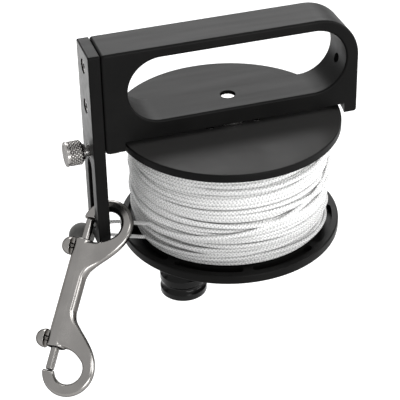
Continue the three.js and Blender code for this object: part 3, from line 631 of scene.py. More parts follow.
def new_material(name, colour, roughness, metallic=0.0, specular=0.5, edge_gloss=1.0):
    """The edge gloss is how much of its gloss a metal keeps at a glancing angle."""
    made = bpy.data.materials.new(name)
    made.use_nodes = True
    shader_input(made, "Base Color").default_value = (*colour, 1)
    shader_input(made, "Roughness").default_value = roughness
    shader_input(made, "Metallic").default_value = metallic
    shader_input(made, "Specular IOR Level").default_value = specular
    if metallic:
        shader_input(made, "Specular Tint").default_value = (*[edge_gloss] * 3, 1)
    return made


def link(made, source, target):
    made.node_tree.links.new(source, target)


def add_node(made, kind, *sources, **values):
    """A node with the given values of its inputs or settings, fed in the order of its inputs."""
    node = made.node_tree.nodes.new(kind)
    for key, value in values.items():
        if key in node.inputs:
            node.inputs[key].default_value = value
        else:
            setattr(node, key, value)
    for place, source in zip(node.inputs, sources):
        link(made, source, place)
    return node


def object_noise(made, scale, detail=3.0, stretch=(1, 1, 1)):
    place = add_node(made, "ShaderNodeTexCoord").outputs["Object"]
    sized = add_node(made, "ShaderNodeMapping", place, Scale=stretch).outputs["Vector"]
    return add_node(made, "ShaderNodeTexNoise", sized, Scale=scale, Detail=detail).outputs["Fac"]


def spread(made, source, low, high, source_low=0.3, source_high=0.7):
    """Maps a source's range onto another."""
    ends = {"From Min": source_low, "From Max": source_high, "To Min": low, "To Max": high}
    return add_node(made, "ShaderNodeMapRange", source, **ends).outputs["Result"]


def vary_roughness(made, source, low, high):
    link(made, spread(made, source, low, high), shader_input(made, "Roughness"))


def vary_colour(made, source, low, high, source_low=0.3, source_high=0.7):
    """Mixes two colours by a source whose range is given."""
    share = spread(made, source, 0, 1, source_low, source_high)
    mix = add_node(made, "ShaderNodeMix", share, data_type="RGBA")
    first, second = [place for place in mix.inputs if place.type == "RGBA"]
    first.default_value = (*low, 1)
    second.default_value = (*high, 1)
    mixed = next(place for place in mix.outputs if place.type == "RGBA")
    link(made, mixed, shader_input(made, "Base Color"))


def add_bump(made, source, distance, strength=1.0):
    bump = add_node(made, "ShaderNodeBump", Distance=distance, Strength=strength)
    link(made, source, bump.inputs["Height"])
    link(made, bump.outputs["Normal"], shader_input(made, "Normal"))


def black_machined():
    made = new_material("black_machined", (0.005, 0.005, 0.005), roughness=0.38, specular=0.05)
    patches = object_noise(made, 35, detail=4)
    streaks = object_noise(made, 60, detail=4, stretch=(0.25, 4, 4))
    vary_colour(made, patches, (0.0034, 0.0034, 0.0034), (0.0062, 0.0061, 0.0059))
    vary_roughness(made, streaks, low=0.35, high=0.42)
    add_bump(made, object_noise(made, 900, detail=2), distance=0.015 * MM, strength=0.3)
    return made


def black_with_painted_top_light():
    """Black acetal with a satin finish and painted light: faces that point up are painted lighter than its
    rims and other faces.
    """
    made = new_material("black_with_painted_top_light", (0.02, 0.02, 0.02), roughness=0.4, specular=0.055)
    # Painted light: the colour grows lighter as a face points up, and stays dark on faces that point
    # sideways or down
    normal = add_node(made, "ShaderNodeTexCoord").outputs["Normal"]
    split = add_node(made, "ShaderNodeSeparateXYZ", normal)
    vary_colour(made, split.outputs["Z"], (0.0048, 0.0048, 0.0048), (0.03, 0.0295, 0.029), 0.8, 0.98)
    vary_roughness(made, object_noise(made, 60, detail=4), low=0.36, high=0.46)
    add_bump(made, object_noise(made, 900, detail=2), distance=0.015 * MM, strength=0.3)
    return made


def black_glossy():
    made = new_material("black_glossy", (0.004, 0.004, 0.004), roughness=0.16, specular=0.13)
    patches = object_noise(made, 60, detail=3)
    vary_roughness(made, patches, low=0.12, high=0.22)
    add_bump(made, object_noise(made, 700, detail=2), distance=0.008 * MM, strength=0.2)
    return made


def polished_steel():
    made = new_material("polished_steel", (0.25, 0.241, 0.232), roughness=0.2, metallic=1.0, edge_gloss=0.05)
    patches = object_noise(made, 70, detail=4)
    vary_colour(made, patches, (0.23, 0.222, 0.214), (0.275, 0.265, 0.255))
    vary_roughness(made, patches, low=0.17, high=0.26)
    add_bump(made, object_noise(made, 260, detail=3), distance=0.03 * MM, strength=0.25)
    return made


def knurled_steel_painted_shade():
    """Steel with painted shade that darkens the grooves of a knurl."""
    made = new_material("knurled_steel_painted_shade", (0.3, 0.29, 0.28), roughness=0.22, metallic=1.0, edge_gloss=0.3)
    # Painted shade: the deeper a point lies in a groove, the darker its colour
    groove = add_node(made, "ShaderNodeAttribute", attribute_name="groove")
    vary_colour(made, groove.outputs["Fac"], (0.33, 0.32, 0.31), (0.14, 0.135, 0.13), 0.1, 0.9)
    vary_roughness(made, object_noise(made, 120, detail=3), low=0.2, high=0.3)
    return made


def bright_steel():
    made = new_material("bright_steel", (0.36, 0.352, 0.344), roughness=0.22, metallic=1.0, edge_gloss=0.4)
    rings = object_noise(made, 300, detail=2, stretch=(1, 1, 4))
    vary_roughness(made, rings, low=0.16, high=0.3)
    add_bump(made, rings, distance=0.01 * MM, strength=0.3)
    return made


def pale_nylon():
    made = new_material("pale_nylon", (0.78, 0.76, 0.7), roughness=0.5)
    patches = object_noise(made, 200, detail=3)
    vary_colour(made, patches, (0.72, 0.7, 0.64), (0.82, 0.8, 0.75))
    add_bump(made, patches, distance=0.02 * MM, strength=0.3)
    return made


def grey_rubber():
    made = new_material("grey_rubber", (0.09, 0.09, 0.087), roughness=0.75, specular=0.3)
    patches = object_noise(made, 150, detail=4)
    vary_colour(made, patches, (0.08, 0.08, 0.077), (0.12, 0.118, 0.113))
    add_bump(made, object_noise(made, 1200, detail=2), distance=0.04 * MM, strength=0.4)
    return made


BRAID_CARRIERS = 3
BRAID_RATE = 3.8
BRAID_COLOURS = (0.86, 0.86, 0.855), (0.62, 0.62, 0.62)
# Painted shade on the wound line: its colour darkens from the first height down to the second, where its
# value falls to the share
PAINTED_SHADE_FROM = -97 * MM
PAINTED_SHADE_LOWEST_AT = -119 * MM
PAINTED_SHADE_DEEPEST = 0.55


def braided_line(name, light, dark):
    """White braid, drawn on the tube's unwrapping: two families of yarns that cross."""
    made = new_material(name, light, roughness=0.8, specular=0.25)
    unwrap = add_node(made, "ShaderNodeUVMap", uv_map="unwrap").outputs["UV"]
    split = add_node(made, "ShaderNodeSeparateXYZ", unwrap)

    def math_node(operation, first, second=None):
        node = add_node(made, "ShaderNodeMath", operation=operation)
        for place, value in zip(node.inputs, (first, second)):
            if value is None:
                continue
            if isinstance(value, (int, float)):
                place.default_value = value
            else:
                link(made, value, place)
        return node.outputs["Value"]

    along = math_node("MULTIPLY", split.outputs["X"], 2 * math.pi * BRAID_RATE)
    around = math_node("MULTIPLY", split.outputs["Y"], 2 * math.pi * BRAID_CARRIERS)
    rising = math_node("SINE", math_node("ADD", along, around))
    falling = math_node("SINE", math_node("SUBTRACT", along, around))
    yarns = math_node("MAXIMUM", rising, falling)
    vary_colour(made, yarns, dark, light, -0.3, 0.75)
    add_bump(made, yarns, distance=0.22 * MM, strength=0.9)
    return made


def wound_line_painted_shade(light, dark):
    """The same braid on the spool, with painted shade that darkens it towards the low turns."""
    made = braided_line("wound_line_painted_shade", light, dark)
    place = add_node(made, "ShaderNodeTexCoord").outputs["Object"]
    height = add_node(made, "ShaderNodeSeparateXYZ", place).outputs["Z"]
    colour = shader_input(made, "Base Color")
    # Painted shade: the braid's colour is darkened towards the bottom of the winding
    painted_shade_node = add_node(made, "ShaderNodeHueSaturation")
    link(made, colour.links[0].from_socket, painted_shade_node.inputs["Color"])
    link(made, spread(made, height, PAINTED_SHADE_DEEPEST, 1, PAINTED_SHADE_LOWEST_AT, PAINTED_SHADE_FROM), painted_shade_node.inputs["Value"])
    link(made, painted_shade_node.outputs["Color"], colour)
    return made


# Each look's material and the slot it goes in
LOOKS = {
    "machined": (black_machined(), "black_acetal"),
    # The top flange's black, with painted light on its upward faces
    "turned": (black_with_painted_top_light(), "black_acetal"),
    "glossy": (black_glossy(), "black_knob"),
    "polished": (polished_steel(), "polished_steel"),
    # The knurled steel, with painted shade in its grooves
    "knurled": (knurled_steel_painted_shade(), "polished_steel"),
    "bright": (bright_steel(), "screw_steel"),
    "nylon": (pale_nylon(), "pale_nylon"),
    "rubber": (grey_rubber(), "grey_rubber"),
    "line": (braided_line("braided_line", *BRAID_COLOURS), "white_line"),
    # The wound line's look, with painted shade towards its low turns
    "wound": (wound_line_painted_shade(*BRAID_COLOURS), "white_line"),
}


def finish_piece(piece, look, body, *nodes):
    """Gives a piece its material and body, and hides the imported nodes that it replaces."""
    material, slot = LOOKS[look]
    piece.data.materials.clear()
    piece.data.materials.append(material)
    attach(piece, body)
    if nodes:
        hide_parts(*nodes)
    return piece


add_camera()


# Free end of the line

def between(time, start, end, first, last):
    """The place at a time on a straight line from one place and time to another."""
    return (end - time) / (end - start) * first + (time - start) / (end - start) * last


def smooth_route(points, spacing):
    """Evenly spaced points on a smooth curve through given ones, and its length."""
    places = np.array(points, float)
    strides = np.sqrt(np.linalg.norm(np.diff(places, axis=0), axis=1))
    knots = np.concatenate([[0], np.cumsum(strides)])
    padded = np.vstack([2 * places[0] - places[1], places, 2 * places[-1] - places[-2]])
    times = np.concatenate([[-knots[1]], knots, [2 * knots[-1] - knots[-2]]])
    dense = []
    for i in range(1, len(padded) - 2):
        t0, t1, t2, t3 = times[i - 1:i + 3]
        p0, p1, p2, p3 = padded[i - 1:i + 3]
        for t in np.linspace(t1, t2, ROUTE_STEPS, endpoint=False):
            middle = between(t, t1, t2, p1, p2)
            before = between(t, t0, t2, between(t, t0, t1, p0, p1), middle)
            after = between(t, t1, t3, middle, between(t, t2, t3, p2, p3))
            dense.append(between(t, t1, t2, before, after))
    dense = np.array([*dense, places[-1]])
    reach = np.concatenate([[0], np.cumsum(np.linalg.norm(np.diff(dense, axis=0), axis=1))])
    wanted = np.linspace(0, reach[-1], int(round(reach[-1] / spacing)) + 1)
    even = np.stack([np.interp(wanted, reach, dense[:, axis]) for axis in range(3)], axis=-1)
    return even, reach[-1]


def add_stopper():
    lip = math.acos(STOPPER_BORE / STOPPER_RADIUS)
    outside = arc((0, 0), STOPPER_RADIUS, -lip, lip, steps=40)
    bore = STOPPER_BORE - STOPPER_STEP
    inside = [(bore, outside[-1][1] - STOPPER_MOUTH), (bore, outside[0][1] + STOPPER_MOUTH)]
    ball = turned("stopper_ball_moulded", outside + inside, facets=72)
    ball.data.transform(STOPPER_LINE.to_track_quat("Z", "Y").to_matrix().to_4x4())
    moved(ball, *STOPPER_CENTRE)
    return finish_piece(shade(ball, ROUND_SHARP), "rubber", "handle", "stopper_ball")


def add_knot():
    """An overhand knot, as a flattened trefoil."""
    centre = STOPPER_CENTRE + STOPPER_LINE * (STOPPER_RADIUS + GAP + KNOT_RADIUS)
    turn = STOPPER_LINE.to_track_quat("Z", "Y").to_matrix()
    t = np.linspace(0, 2 * math.pi, KNOT_POINTS)
    size = KNOT_RADIUS - LINE_RADIUS
    local = np.stack([
        (np.sin(t) + 2 * np.sin(2 * t)) / 3,
        (np.cos(t) - 2 * np.cos(2 * t)) / 3,
        -np.sin(3 * t) * KNOT_FLATNESS,
    ], axis=-1) * size
    points = local @ np.array(turn).T + np.array(centre)
    outward = points - np.array(centre) + np.array(STOPPER_LINE) * 1e-5
    knot = tube("line_knot", points, KNOT_LINE, STRAND_SIDES, outward)
    return finish_piece(shade(knot, ROUND_SHARP), "line", "handle")


def add_strand(name, route, *nodes):
    points, length = smooth_route(route, ROUTE_SPACING)
    outward = np.tile(np.array(STOPPER_LINE.orthogonal()), (len(points), 1))
    strand = tube(name, points, LINE_RADIUS, STRAND_SIDES, outward)
    finish_piece(shade(strand, ROUND_SHARP), "line", "handle", *nodes)
    return strand, points, length


stopper = add_stopper()
knot = add_knot()
strand, strand_points, strand_length = add_strand("line_strand_upper", UPPER_STRAND, "line_end")
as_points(strand_points)
strand, strand_points, strand_length = add_strand("line_strand_lower", LOWER_STRAND, "line_end")
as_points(strand_points)


# Grip block, side bar and their screws

def upright_xz(piece, back):
    """Stands an outline drawn as (x, z) up, its depth running forwards from the back."""
    piece.data.transform(Matrix.Rotation(math.pi / 2, 4, "X"))
    return moved(piece, y=back)


def cut_across(piece, holes):
    """Cuts round holes along X, midway in the grip's depth. A hole is (radius, start, end, drop)."""
    for radius, start, end, drop in holes:
        combine(piece, moved(along_x(rod(radius, start, end)), y=MID_DEPTH, z=-drop))


def add_grip_block():
    hole_floor = -GRIP_TOP_THICK - GRIP_HOLE_HEIGHT
    bar_floor = hole_floor - LOWER_BAR_THICK
    hole_right = block_high.x - GRIP_RIGHT_WALL
    small = BLOCK_CORNER + BLOCK_EDGE
    radii = (small, small, OUTER_CORNER, small)
    half = GRIP_HOLE_HEIGHT / 2
    outer = inset_outline(
        block_low.x, block_high.x, block_low.z, block_high.z, radii=radii, steps=40)
    hole = inset_outline(
        block_low.x + GRIP_LEFT_WALL, hole_right, hole_floor, -GRIP_TOP_THICK,
        radii=(half,) * 4, steps=40)
    block = upright_xz(slab("grip_block_machined", outer, hole, BACK - FRONT, BLOCK_EDGE), BACK)
    plate = lathe("plate", [
        (0, bar_floor),
        (PLATE_RADIUS, bar_floor, PLATE_EDGE),
        (PLATE_RADIUS, hole_floor, PLATE_EDGE),
        (0, hole_floor),
    ], facets=LARGE_FACETS)
    moved(plate, *PLATE_CENTRE)
    far = 0.1
    combine(plate, cutting_box((-far, BACK - 2 * BLOCK_EDGE, -far), (far, far, 0)), "INTERSECT")
    combine(block, plate, "UNION")
    insert_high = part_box("axle_insert")[1]
    under = bar_floor - CUT_OVERRUN
    combine(block, rod(FLANGE_RADIUS + POCKET_SIDE_GAP, block_low.z - CUT_OVERRUN, bar_floor, LARGE_FACETS))
    combine(block, rod(AXLE_BORE, under, hole_floor + CUT_OVERRUN))
    combine(block, rod(insert_high.x + GAP, under, insert_high.z + GAP))
    start = block_low.x - CUT_OVERRUN
    holes = [
        (LOCK_GROOVE, start, CUT_OVERRUN - FLANGE_RADIUS, LOCK_DROP),
        (CORD_HOLE_RADIUS, hole_right - half, block_high.x + CUT_OVERRUN, CORD_HOLE_DROP),
    ]
    for drop in BAR_SCREW_DROPS.values():
        holes.append((BAR_SCREW_SHANK + GAP, start, block_low.x + BAR_SCREW_REACH + GAP, drop))
    cut_across(block, holes)
    finish_piece(shade(block), "machined", "handle", "grip_block")


def add_side_bar():
    half = BAR_SLOT_WIDTH / 2
    corner = BAR_EDGE + BLOCK_CORNER
    outer = inset_outline(
        FRONT, BACK, bar_low.z, bar_high.z,
        radii=(BAR_END_ROUND, BAR_END_ROUND, corner, corner), steps=10)
    slot = inset_outline(
        MID_DEPTH - half, MID_DEPTH + half, -BAR_SLOT_BOTTOM, -BAR_SLOT_TOP,
        radii=(half,) * 4, steps=12)
    bar = slab("side_bar_machined", outer, slot, bar_high.x - bar_low.x, BAR_EDGE)
    bar.data.transform(Matrix(((0, 0, 1, bar_low.x), (1, 0, 0, 0), (0, 1, 0, 0), (0, 0, 0, 1))))
    insert_low, insert_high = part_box("lock_insert")
    start = bar_low.x - CUT_OVERRUN
    through = bar_high.x + CUT_OVERRUN
    holes = [((insert_high.z - insert_low.z) / 2 + GAP, start, through, LOCK_DROP)]
    for drop in BAR_SCREW_DROPS.values():
        seat = bar_low.x + BAR_SCREW_HEAD_THICK + GAP
        holes.append((BAR_SCREW_HEAD + BAR_SCREW_SIDE_GAP, start, seat, drop))
        holes.append((BAR_SCREW_SHANK + GAP, start, through, drop))
    cut_across(bar, holes)
    finish_piece(shade(bar), "machined", "handle", "side_bar")


def screw(name, head, head_thick, shank, length, hex_radius, hex_depth):
    """A cap screw along Z, its head's top at zero and its shank downwards."""
    body = lathe(name, [
        (0, -length),
        (shank, -length, SMALL_EDGE),
        (shank, -head_thick),
        (head, -head_thick, SMALL_EDGE),
        (head, 0, SMALL_EDGE),
        (0, 0),
    ], steps=3, facets=48)
    return socket(body, hex_radius, -hex_depth, hex_depth)


def add_bar_screws():
    for end, drop in BAR_SCREW_DROPS.items():
        low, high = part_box(f"bar_screw_{end}")
        top = low.x + BAR_SCREW_SINK
        piece = screw(f"bar_screw_{end}_turned", BAR_SCREW_HEAD, BAR_SCREW_HEAD_THICK - BAR_SCREW_SINK,
                      BAR_SCREW_SHANK, high.x - top, BAR_SCREW_HEX, BAR_SCREW_HEX_DEPTH)
        piece.data.transform(Matrix.Rotation(-math.pi / 2, 4, "Y"))
        moved(piece, top, MID_DEPTH, -drop)
        finish_piece(shade(piece), "bright", "handle", f"bar_screw_{end}")


# Lock screw

def lock_place(piece):
    along_x(piece)
    return moved(piece, y=MID_DEPTH, z=-LOCK_DROP)


def knurl_depth(angle_share, height, pitch):
    """0 on a diamond's flat top and 1 at the bottom of the grooves round it."""
    rising = np.abs((angle_share * KNURL_COUNT + height / pitch) % 1 - 0.5) * 2
    falling = np.abs((angle_share * KNURL_COUNT - height / pitch) % 1 - 0.5) * 2
    nearest = 1 - np.maximum(rising, falling)
    return 1 - np.clip(nearest / KNURL_FLANK, 0, 1)


def add_lock_knob():
    left = screw_knob_low.x
    neck_end = screw_knob_high.x
    right = neck_end - LOCK_NECK_LENGTH
    radius = (screw_knob_high.z - screw_knob_low.z) / 2
    groove = left + LOCK_RIM
    groove_floor = radius - KNURL_GROOVE
    band_low = groove + 2.2 * KNURL_GROOVE
    band_high = right - LOCK_SHOULDER
    bore_end = right - LOCK_BORE_DEPTH
    start = filleted([
        (0, left + LOCK_DISH_DEPTH),
        (radius - LOCK_DISH_INSET, left + LOCK_DISH_DEPTH, GROOVE_EDGE),
        (radius - LOCK_LIP, left, FINE_EDGE),
        (radius, left, LOCK_FACE_EDGE),
        (radius, groove, TURNED_EDGE),
        (groove_floor, groove + GROOVE_SLOPE_LEFT, GROOVE_EDGE),
        (groove_floor, band_low - GROOVE_SLOPE_RIGHT, GROOVE_EDGE),
        (radius, band_low),
    ], steps=3)
    band = [(radius, height) for height in np.linspace(band_low, band_high, KNURL_ROWS)[1:-1]]
    end = filleted([
        (radius, band_high),
        (LOCK_NECK + LOCK_SHOULDER_RISE, right, SMALL_EDGE),
        (LOCK_NECK, right, TURNED_EDGE),
        (LOCK_NECK, neck_end, LOCK_NECK_EDGE),
        (LOCK_BORE, neck_end),
        (LOCK_BORE, bore_end),
        (0, bore_end),
    ], steps=3)
    profile = np.array(start + band + end)
    in_band = np.zeros(len(profile))
    in_band[len(start):len(start) + len(band)] = 1
    facets = KNURL_COUNT * KNURL_STEPS
    shares = np.arange(facets)[:, None] / facets
    pitch = 2 * math.pi * radius / KNURL_COUNT
    depth = knurl_depth(shares, profile[:, 1] - band_low, pitch)
    radii = profile[:, 0] - KNURL_DEPTH * depth * in_band
    knob = lock_place(turned_grid("lock_knob_knurled", radii, profile[:, 1]))
    # How deep each point lies in a groove, for the painted shade in the grooves
    points = get_points(knob)
    reach = np.hypot(points[:, 1] - MID_DEPTH, points[:, 2] + LOCK_DROP)
    cut = np.clip((radius - reach) / KNURL_DEPTH, 0, 1)
    outside = (points[:, 0] < band_low - GROOVE_EDGE) | (points[:, 0] > band_high + GROOVE_EDGE)
    cut[outside] = 0
    painted_groove_shade = knob.data.attributes.new("groove", "FLOAT", "POINT").data
    painted_groove_shade.foreach_set("value", cut.astype(np.float32))
    finish_piece(shade(knob, sharp_angle=70), "knurled", "lock_screw", "lock_knob")


def add_lock_stud():
    low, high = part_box("lock_stud")
    stud = lathe("lock_stud_turned", [
        (0, low.x), (LOCK_STUD, low.x, SMALL_EDGE), (LOCK_STUD, high.x, SMALL_EDGE), (0, high.x)])
    finish_piece(shade(lock_place(stud)), "bright", "lock_screw", "lock_stud")


def add_lock_insert():
    low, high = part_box("lock_insert")
    outer = LOCK_BORE + LOCK_INSERT_WALL
    insert = ring("lock_insert_turned", LOCK_BORE, outer, low.x, high.x, TURNED_EDGE)
    finish_piece(shade(lock_place(insert)), "bright", "handle", "lock_insert")


def add_lock_pad():
    low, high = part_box("lock_pad")
    socket_end = low.x + LOCK_PAD_SOCKET
    pad = lathe("lock_pad_turned", [
        (0, socket_end), (LOCK_BORE, socket_end), (LOCK_BORE, low.x), (LOCK_PAD, low.x, SMALL_EDGE),
        (LOCK_PAD, high.x, LOCK_PAD_ROUND), (0, high.x)])
    finish_piece(shade(lock_place(pad)), "nylon", "lock_pad", "lock_pad")


# Spool, axle and bearings

def screw_places():
    low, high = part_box("flange_screw_upper_1")
    orbit = (low.y + high.y) / 2
    angles = [math.pi / 2 + 2 * math.pi * i / FLANGE_SCREW_COUNT for i in range(FLANGE_SCREW_COUNT)]
    return [(orbit * math.cos(angle), orbit * math.sin(angle)) for angle in angles]


def cut_screw_holes(piece, outer_face, inner_face):
    """Shank holes right through and head seats from the outer face."""
    side = math.copysign(1, outer_face - inner_face)
    seat = outer_face - side * (FLANGE_SCREW_HEAD_THICK + GAP)
    holes = ((FLANGE_SCREW_SHANK + GAP, inner_face - side * MM), (FLANGE_SCREW_HEAD + GAP, seat))
    for x, y in screw_places():
        for radius, end in holes:
            low, high = sorted((outer_face + side * MM, end))
            combine(piece, moved(rod(radius, low, high, 32), x, y))


def lightening_pocket(middle_angle):
    outer = FLANGE_RADIUS - POCKET_RIM
    inner = outer - POCKET_WIDTH
    middle = (outer + inner) / 2
    round_end = POCKET_WIDTH / 2
    half = math.pi / POCKET_COUNT - (POCKET_RIB / 2 + round_end) / middle
    start = middle_angle - half
    end = middle_angle + half
    first = (middle * math.cos(start), middle * math.sin(start))
    last = (middle * math.cos(end), middle * math.sin(end))
    outline = arc((0, 0), outer, start, end, steps=24)
    outline += arc(last, round_end, end, end + math.pi, steps=12)[1:]
    outline += arc((0, 0), inner, end, start, steps=24)[1:]
    outline += arc(first, round_end, start + math.pi, start + 2 * math.pi, steps=12)[1:-1]
    return outline


def flange(name, low, high):
    bore = BEARING_RADIUS + GAP
    return lathe(name, [
        (bore, low.z, SMALL_EDGE), (FLANGE_RADIUS, low.z, FLANGE_EDGE),
        (FLANGE_RADIUS, high.z, FLANGE_EDGE), (bore, high.z, SMALL_EDGE)], facets=LARGE_FACETS)


def add_top_flange():
    top = flange("top_flange_turned", flange_low, flange_high)
    cut_screw_holes(top, flange_high.z, flange_low.z)
    finish_piece(shade(top), "turned", "spool", "top_flange")


def add_bottom_flange():
    base = flange("bottom_flange_turned", base_low, base_high)
    for i in range(POCKET_COUNT):
        pocket = lightening_pocket(POCKET_TURN + 2 * math.pi * (i + 0.5) / POCKET_COUNT)
        combine(base, prism("cutter", pocket, base_high.z - POCKET_DEPTH, base_high.z + MM))
    cut_screw_holes(base, base_low.z, base_high.z)
    spindle_hole = rod(SPINDLE_RADIUS + GAP, base_low.z - MM, base_high.z + MM)
    combine(base, moved(spindle_hole, knob_middle.x, knob_middle.y))
    finish_piece(shade(base, edge=SMALL_EDGE), "machined", "spool", "bottom_flange")


def add_hub():
    low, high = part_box("spool_hub")
    hub = ring("spool_hub_turned", HUB_BORE, HUB_RADIUS, low.z, high.z, facets=MIDDLE_FACETS)
    finish_piece(shade(hub), "machined", "spool", "spool_hub")


def add_flange_screws():
    for end, turn in (("upper", 0), ("lower", math.pi)):
        for i, (x, y) in enumerate(screw_places()):
            node = f"flange_screw_{end}_{i + 1}"
            low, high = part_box(node)
            piece = screw(f"{node}_turned", FLANGE_SCREW_HEAD, FLANGE_SCREW_HEAD_THICK, FLANGE_SCREW_SHANK,
                          high.z - low.z, FLANGE_SCREW_HEX, FLANGE_SCREW_HEX_DEPTH)
            piece.data.transform(Matrix.Rotation(turn, 4, "X"))
            moved(piece, x, y, high.z if end == "upper" else low.z)
            finish_piece(shade(piece), "bright", "spool", node)


def add_axle():
    low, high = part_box("axle")
    head_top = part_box("axle_washer_lower")[0].z - GAP
    axle = lathe("axle_turned", [
        (0, low.z), (high.x, low.z, AXLE_EDGE), (high.x, head_top, SMALL_EDGE), (AXLE_RADIUS, head_top),
        (AXLE_RADIUS, high.z, AXLE_EDGE), (0, high.z)])
    socket(axle, AXLE_HEX, low.z - MM, low.z + AXLE_HEX_DEPTH)
    finish_piece(shade(axle), "bright", "handle", "axle")
    for node in ("axle_insert", "axle_washer_upper", "axle_washer_lower"):
        low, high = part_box(node)
        piece = ring(f"{node}_turned", AXLE_BORE, high.x, low.z, high.z, FINE_EDGE)
        finish_piece(shade(piece), "bright", "handle", node)


def add_bearings():
    for node in ("bearing_upper", "bearing_lower"):
        low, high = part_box(node)
        inner = AXLE_BORE + RACE_THICK
        outer = high.x - RACE_THICK
        shield_low = low.z + SHIELD_INSET
        shield_high = high.z - SHIELD_INSET
        bearing = lathe(f"{node}_shielded", [
            (AXLE_BORE, low.z, RACE_EDGE), (inner, low.z, RACE_EDGE),
            (inner, shield_low), (outer, shield_low),
            (outer, low.z, RACE_EDGE), (high.x, low.z, RACE_EDGE),
            (high.x, high.z, RACE_EDGE), (outer, high.z, RACE_EDGE),
            (outer, shield_high), (inner, shield_high),
            (inner, high.z, RACE_EDGE), (AXLE_BORE, high.z, RACE_EDGE),
        ], steps=3, facets=72)
        finish_piece(shade(bearing), "bright", "spool", node)


# Winding knob

def knob_place(piece):
    return moved(piece, knob_middle.x, knob_middle.y)


def cove(radius, low, high, half_turns):
    """Points down a hollow in the knob's side, which is as deep as a sine over the half turns."""
    points = []
    for k in range(1, COVE_STEPS + 1):
        depth = KNOB_COVE_DEPTH * math.sin(math.pi * half_turns * k / COVE_STEPS)
        points.append((radius - depth, low + (high - low) * k / COVE_STEPS))
    return points


def add_winding_knob():
    radius = knob_high.x - knob_middle.x
    rim_top = knob_low.z + KNOB_RIM
    cove_top = rim_top + KNOB_COVE
    band_top = cove_top + KNOB_BAND
    bush_low, bush_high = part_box("knob_bush")
    head_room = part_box("knob_spindle")[1].x - knob_middle.x + GAP
    bore = bush_high.x - knob_middle.x + GAP
    knob = lathe("winding_knob_turned", [
        (head_room, knob_low.z, KNOB_EDGE),
        (radius, knob_low.z, KNOB_RIM_EDGE),
        (radius, rim_top, KNOB_BAND_EDGE),
        *cove(radius, rim_top, cove_top, 1)[:-1],
        (radius, cove_top, KNOB_BAND_EDGE),
        (radius, band_top, KNOB_BAND_EDGE),
        *cove(radius, band_top, knob_high.z, 0.5),
        (bore, knob_high.z, SMALL_EDGE),
        (bore, bush_low.z),
        (head_room, bush_low.z),
    ], steps=3, facets=128)
    finish_piece(shade(knob_place(knob)), "glossy", "winding_knob", "winding_knob")


def add_knob_spindle():
    low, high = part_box("knob_spindle")
    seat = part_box("knob_bush")[0].z - GAP
    head = high.x - knob_middle.x
    spindle = lathe("knob_spindle_turned", [
        (0, low.z), (head, low.z, SMALL_EDGE), (head, seat), (SPINDLE_RADIUS, seat),
        (SPINDLE_RADIUS, high.z, SMALL_EDGE), (0, high.z)])
    socket(spindle, SPINDLE_HEX, low.z - MM, low.z + SPINDLE_HEX_DEPTH)
    finish_piece(shade(knob_place(spindle)), "bright", "spool", "knob_spindle")


def add_knob_rings():
    for node, look in (("knob_bush", "nylon"), ("knob_washer", "bright")):
        low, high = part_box(node)
        outer = high.x - knob_middle.x
        piece = ring(f"{node}_turned", SPINDLE_RADIUS + GAP, outer, low.z, high.z, FINE_EDGE)
        finish_piece(shade(knob_place(piece)), look, "spool", node)


add_grip_block()
add_side_bar()
add_bar_screws()
add_lock_knob()
add_lock_stud()
add_lock_insert()
add_lock_pad()
add_top_flange()
add_bottom_flange()
add_hub()
add_flange_screws()
add_axle()
add_bearings()
add_winding_knob()
add_knob_spindle()
add_knob_rings()


# Line on the spool

def layer_radius(height):
    """How far out the middle of the outermost turns lies at a height."""
    share = np.clip((LAYER_TOP - height) / (LAYER_TOP - LAYER_BOTTOM), 0, 1)
    return FLANGE_RADIUS - LAYER_INSET + LAYER_BULGE * np.sin(np.pi * share) - LAYER_TAPER * share


def spread_turns(first, last, pitches, sway, seed):
    """Heights of a run of turns from one flange to the other, a row of columns for each turn."""
    chance = np.random.default_rng(seed)
    count = len(pitches)
    steps = np.repeat(np.array(pitches, float), TURN_COLUMNS)
    reach = np.concatenate([[0], np.cumsum(steps)])[:-1]
    heights = first + (last - first) * reach / reach[-1]
    share = np.arange(count * TURN_COLUMNS) / TURN_COLUMNS

    def drift(spacing, low, high):
        knots = np.arange(0, count + spacing, spacing)
        return np.interp(share, knots, chance.uniform(low, high, len(knots)))

    phases = 2 * np.pi * np.cumsum(drift(*SWAY_RATE)) / TURN_COLUMNS
    amounts = drift(*SWAY_AMOUNT)
    swaying = np.sin(phases + drift(*SWAY_SHIFT))
    swaying = (1 - SECOND_SWAY) * swaying + SECOND_SWAY * np.sin(SECOND_RATE * phases + 1)
    room = np.minimum(np.abs(heights - FLOOR_OF_TURNS), np.abs(CEILING_OF_TURNS - heights))
    heights = heights + swaying * amounts * np.minimum(sway, SWAY_ROOM * room)
    return np.clip(heights, FLOOR_OF_TURNS, CEILING_OF_TURNS).reshape(count, TURN_COLUMNS)


def wound_radii(heights):
    """Lays turn after turn over the ones before it, each pulled taut across the dips."""
    radii = np.zeros_like(heights)
    columns = heights.shape[1]
    chance = np.random.default_rng(SLACK_SEED)
    around = np.arange(columns) * 2 * np.pi / columns
    for turn in range(len(heights)):
        row = heights[turn]
        support = layer_radius(row) - CORE_BELOW_LAYER + LINE_RADIUS
        if turn:
            apart = np.abs(heights[:turn] - row)
            lifted = radii[:turn] + np.sqrt(np.maximum(SQUEEZED**2 - apart**2, 0))
            support = np.maximum(support, np.where(apart < SQUEEZED, lifted, 0).max(axis=0))
        slack = chance.normal(0, 1, 2) * SLACK
        support = support + np.abs(slack[0] * np.cos(around) + slack[1] * np.sin(2 * around))
        pulled = 1 / support
        for reach in TAUT_REACHES:
            chord = 2 * math.cos(reach * 2 * math.pi / columns)
            pulled = np.minimum(pulled, (np.roll(pulled, reach) + np.roll(pulled, -reach)) / chord)
        radii[turn] = 1 / pulled
    return radii


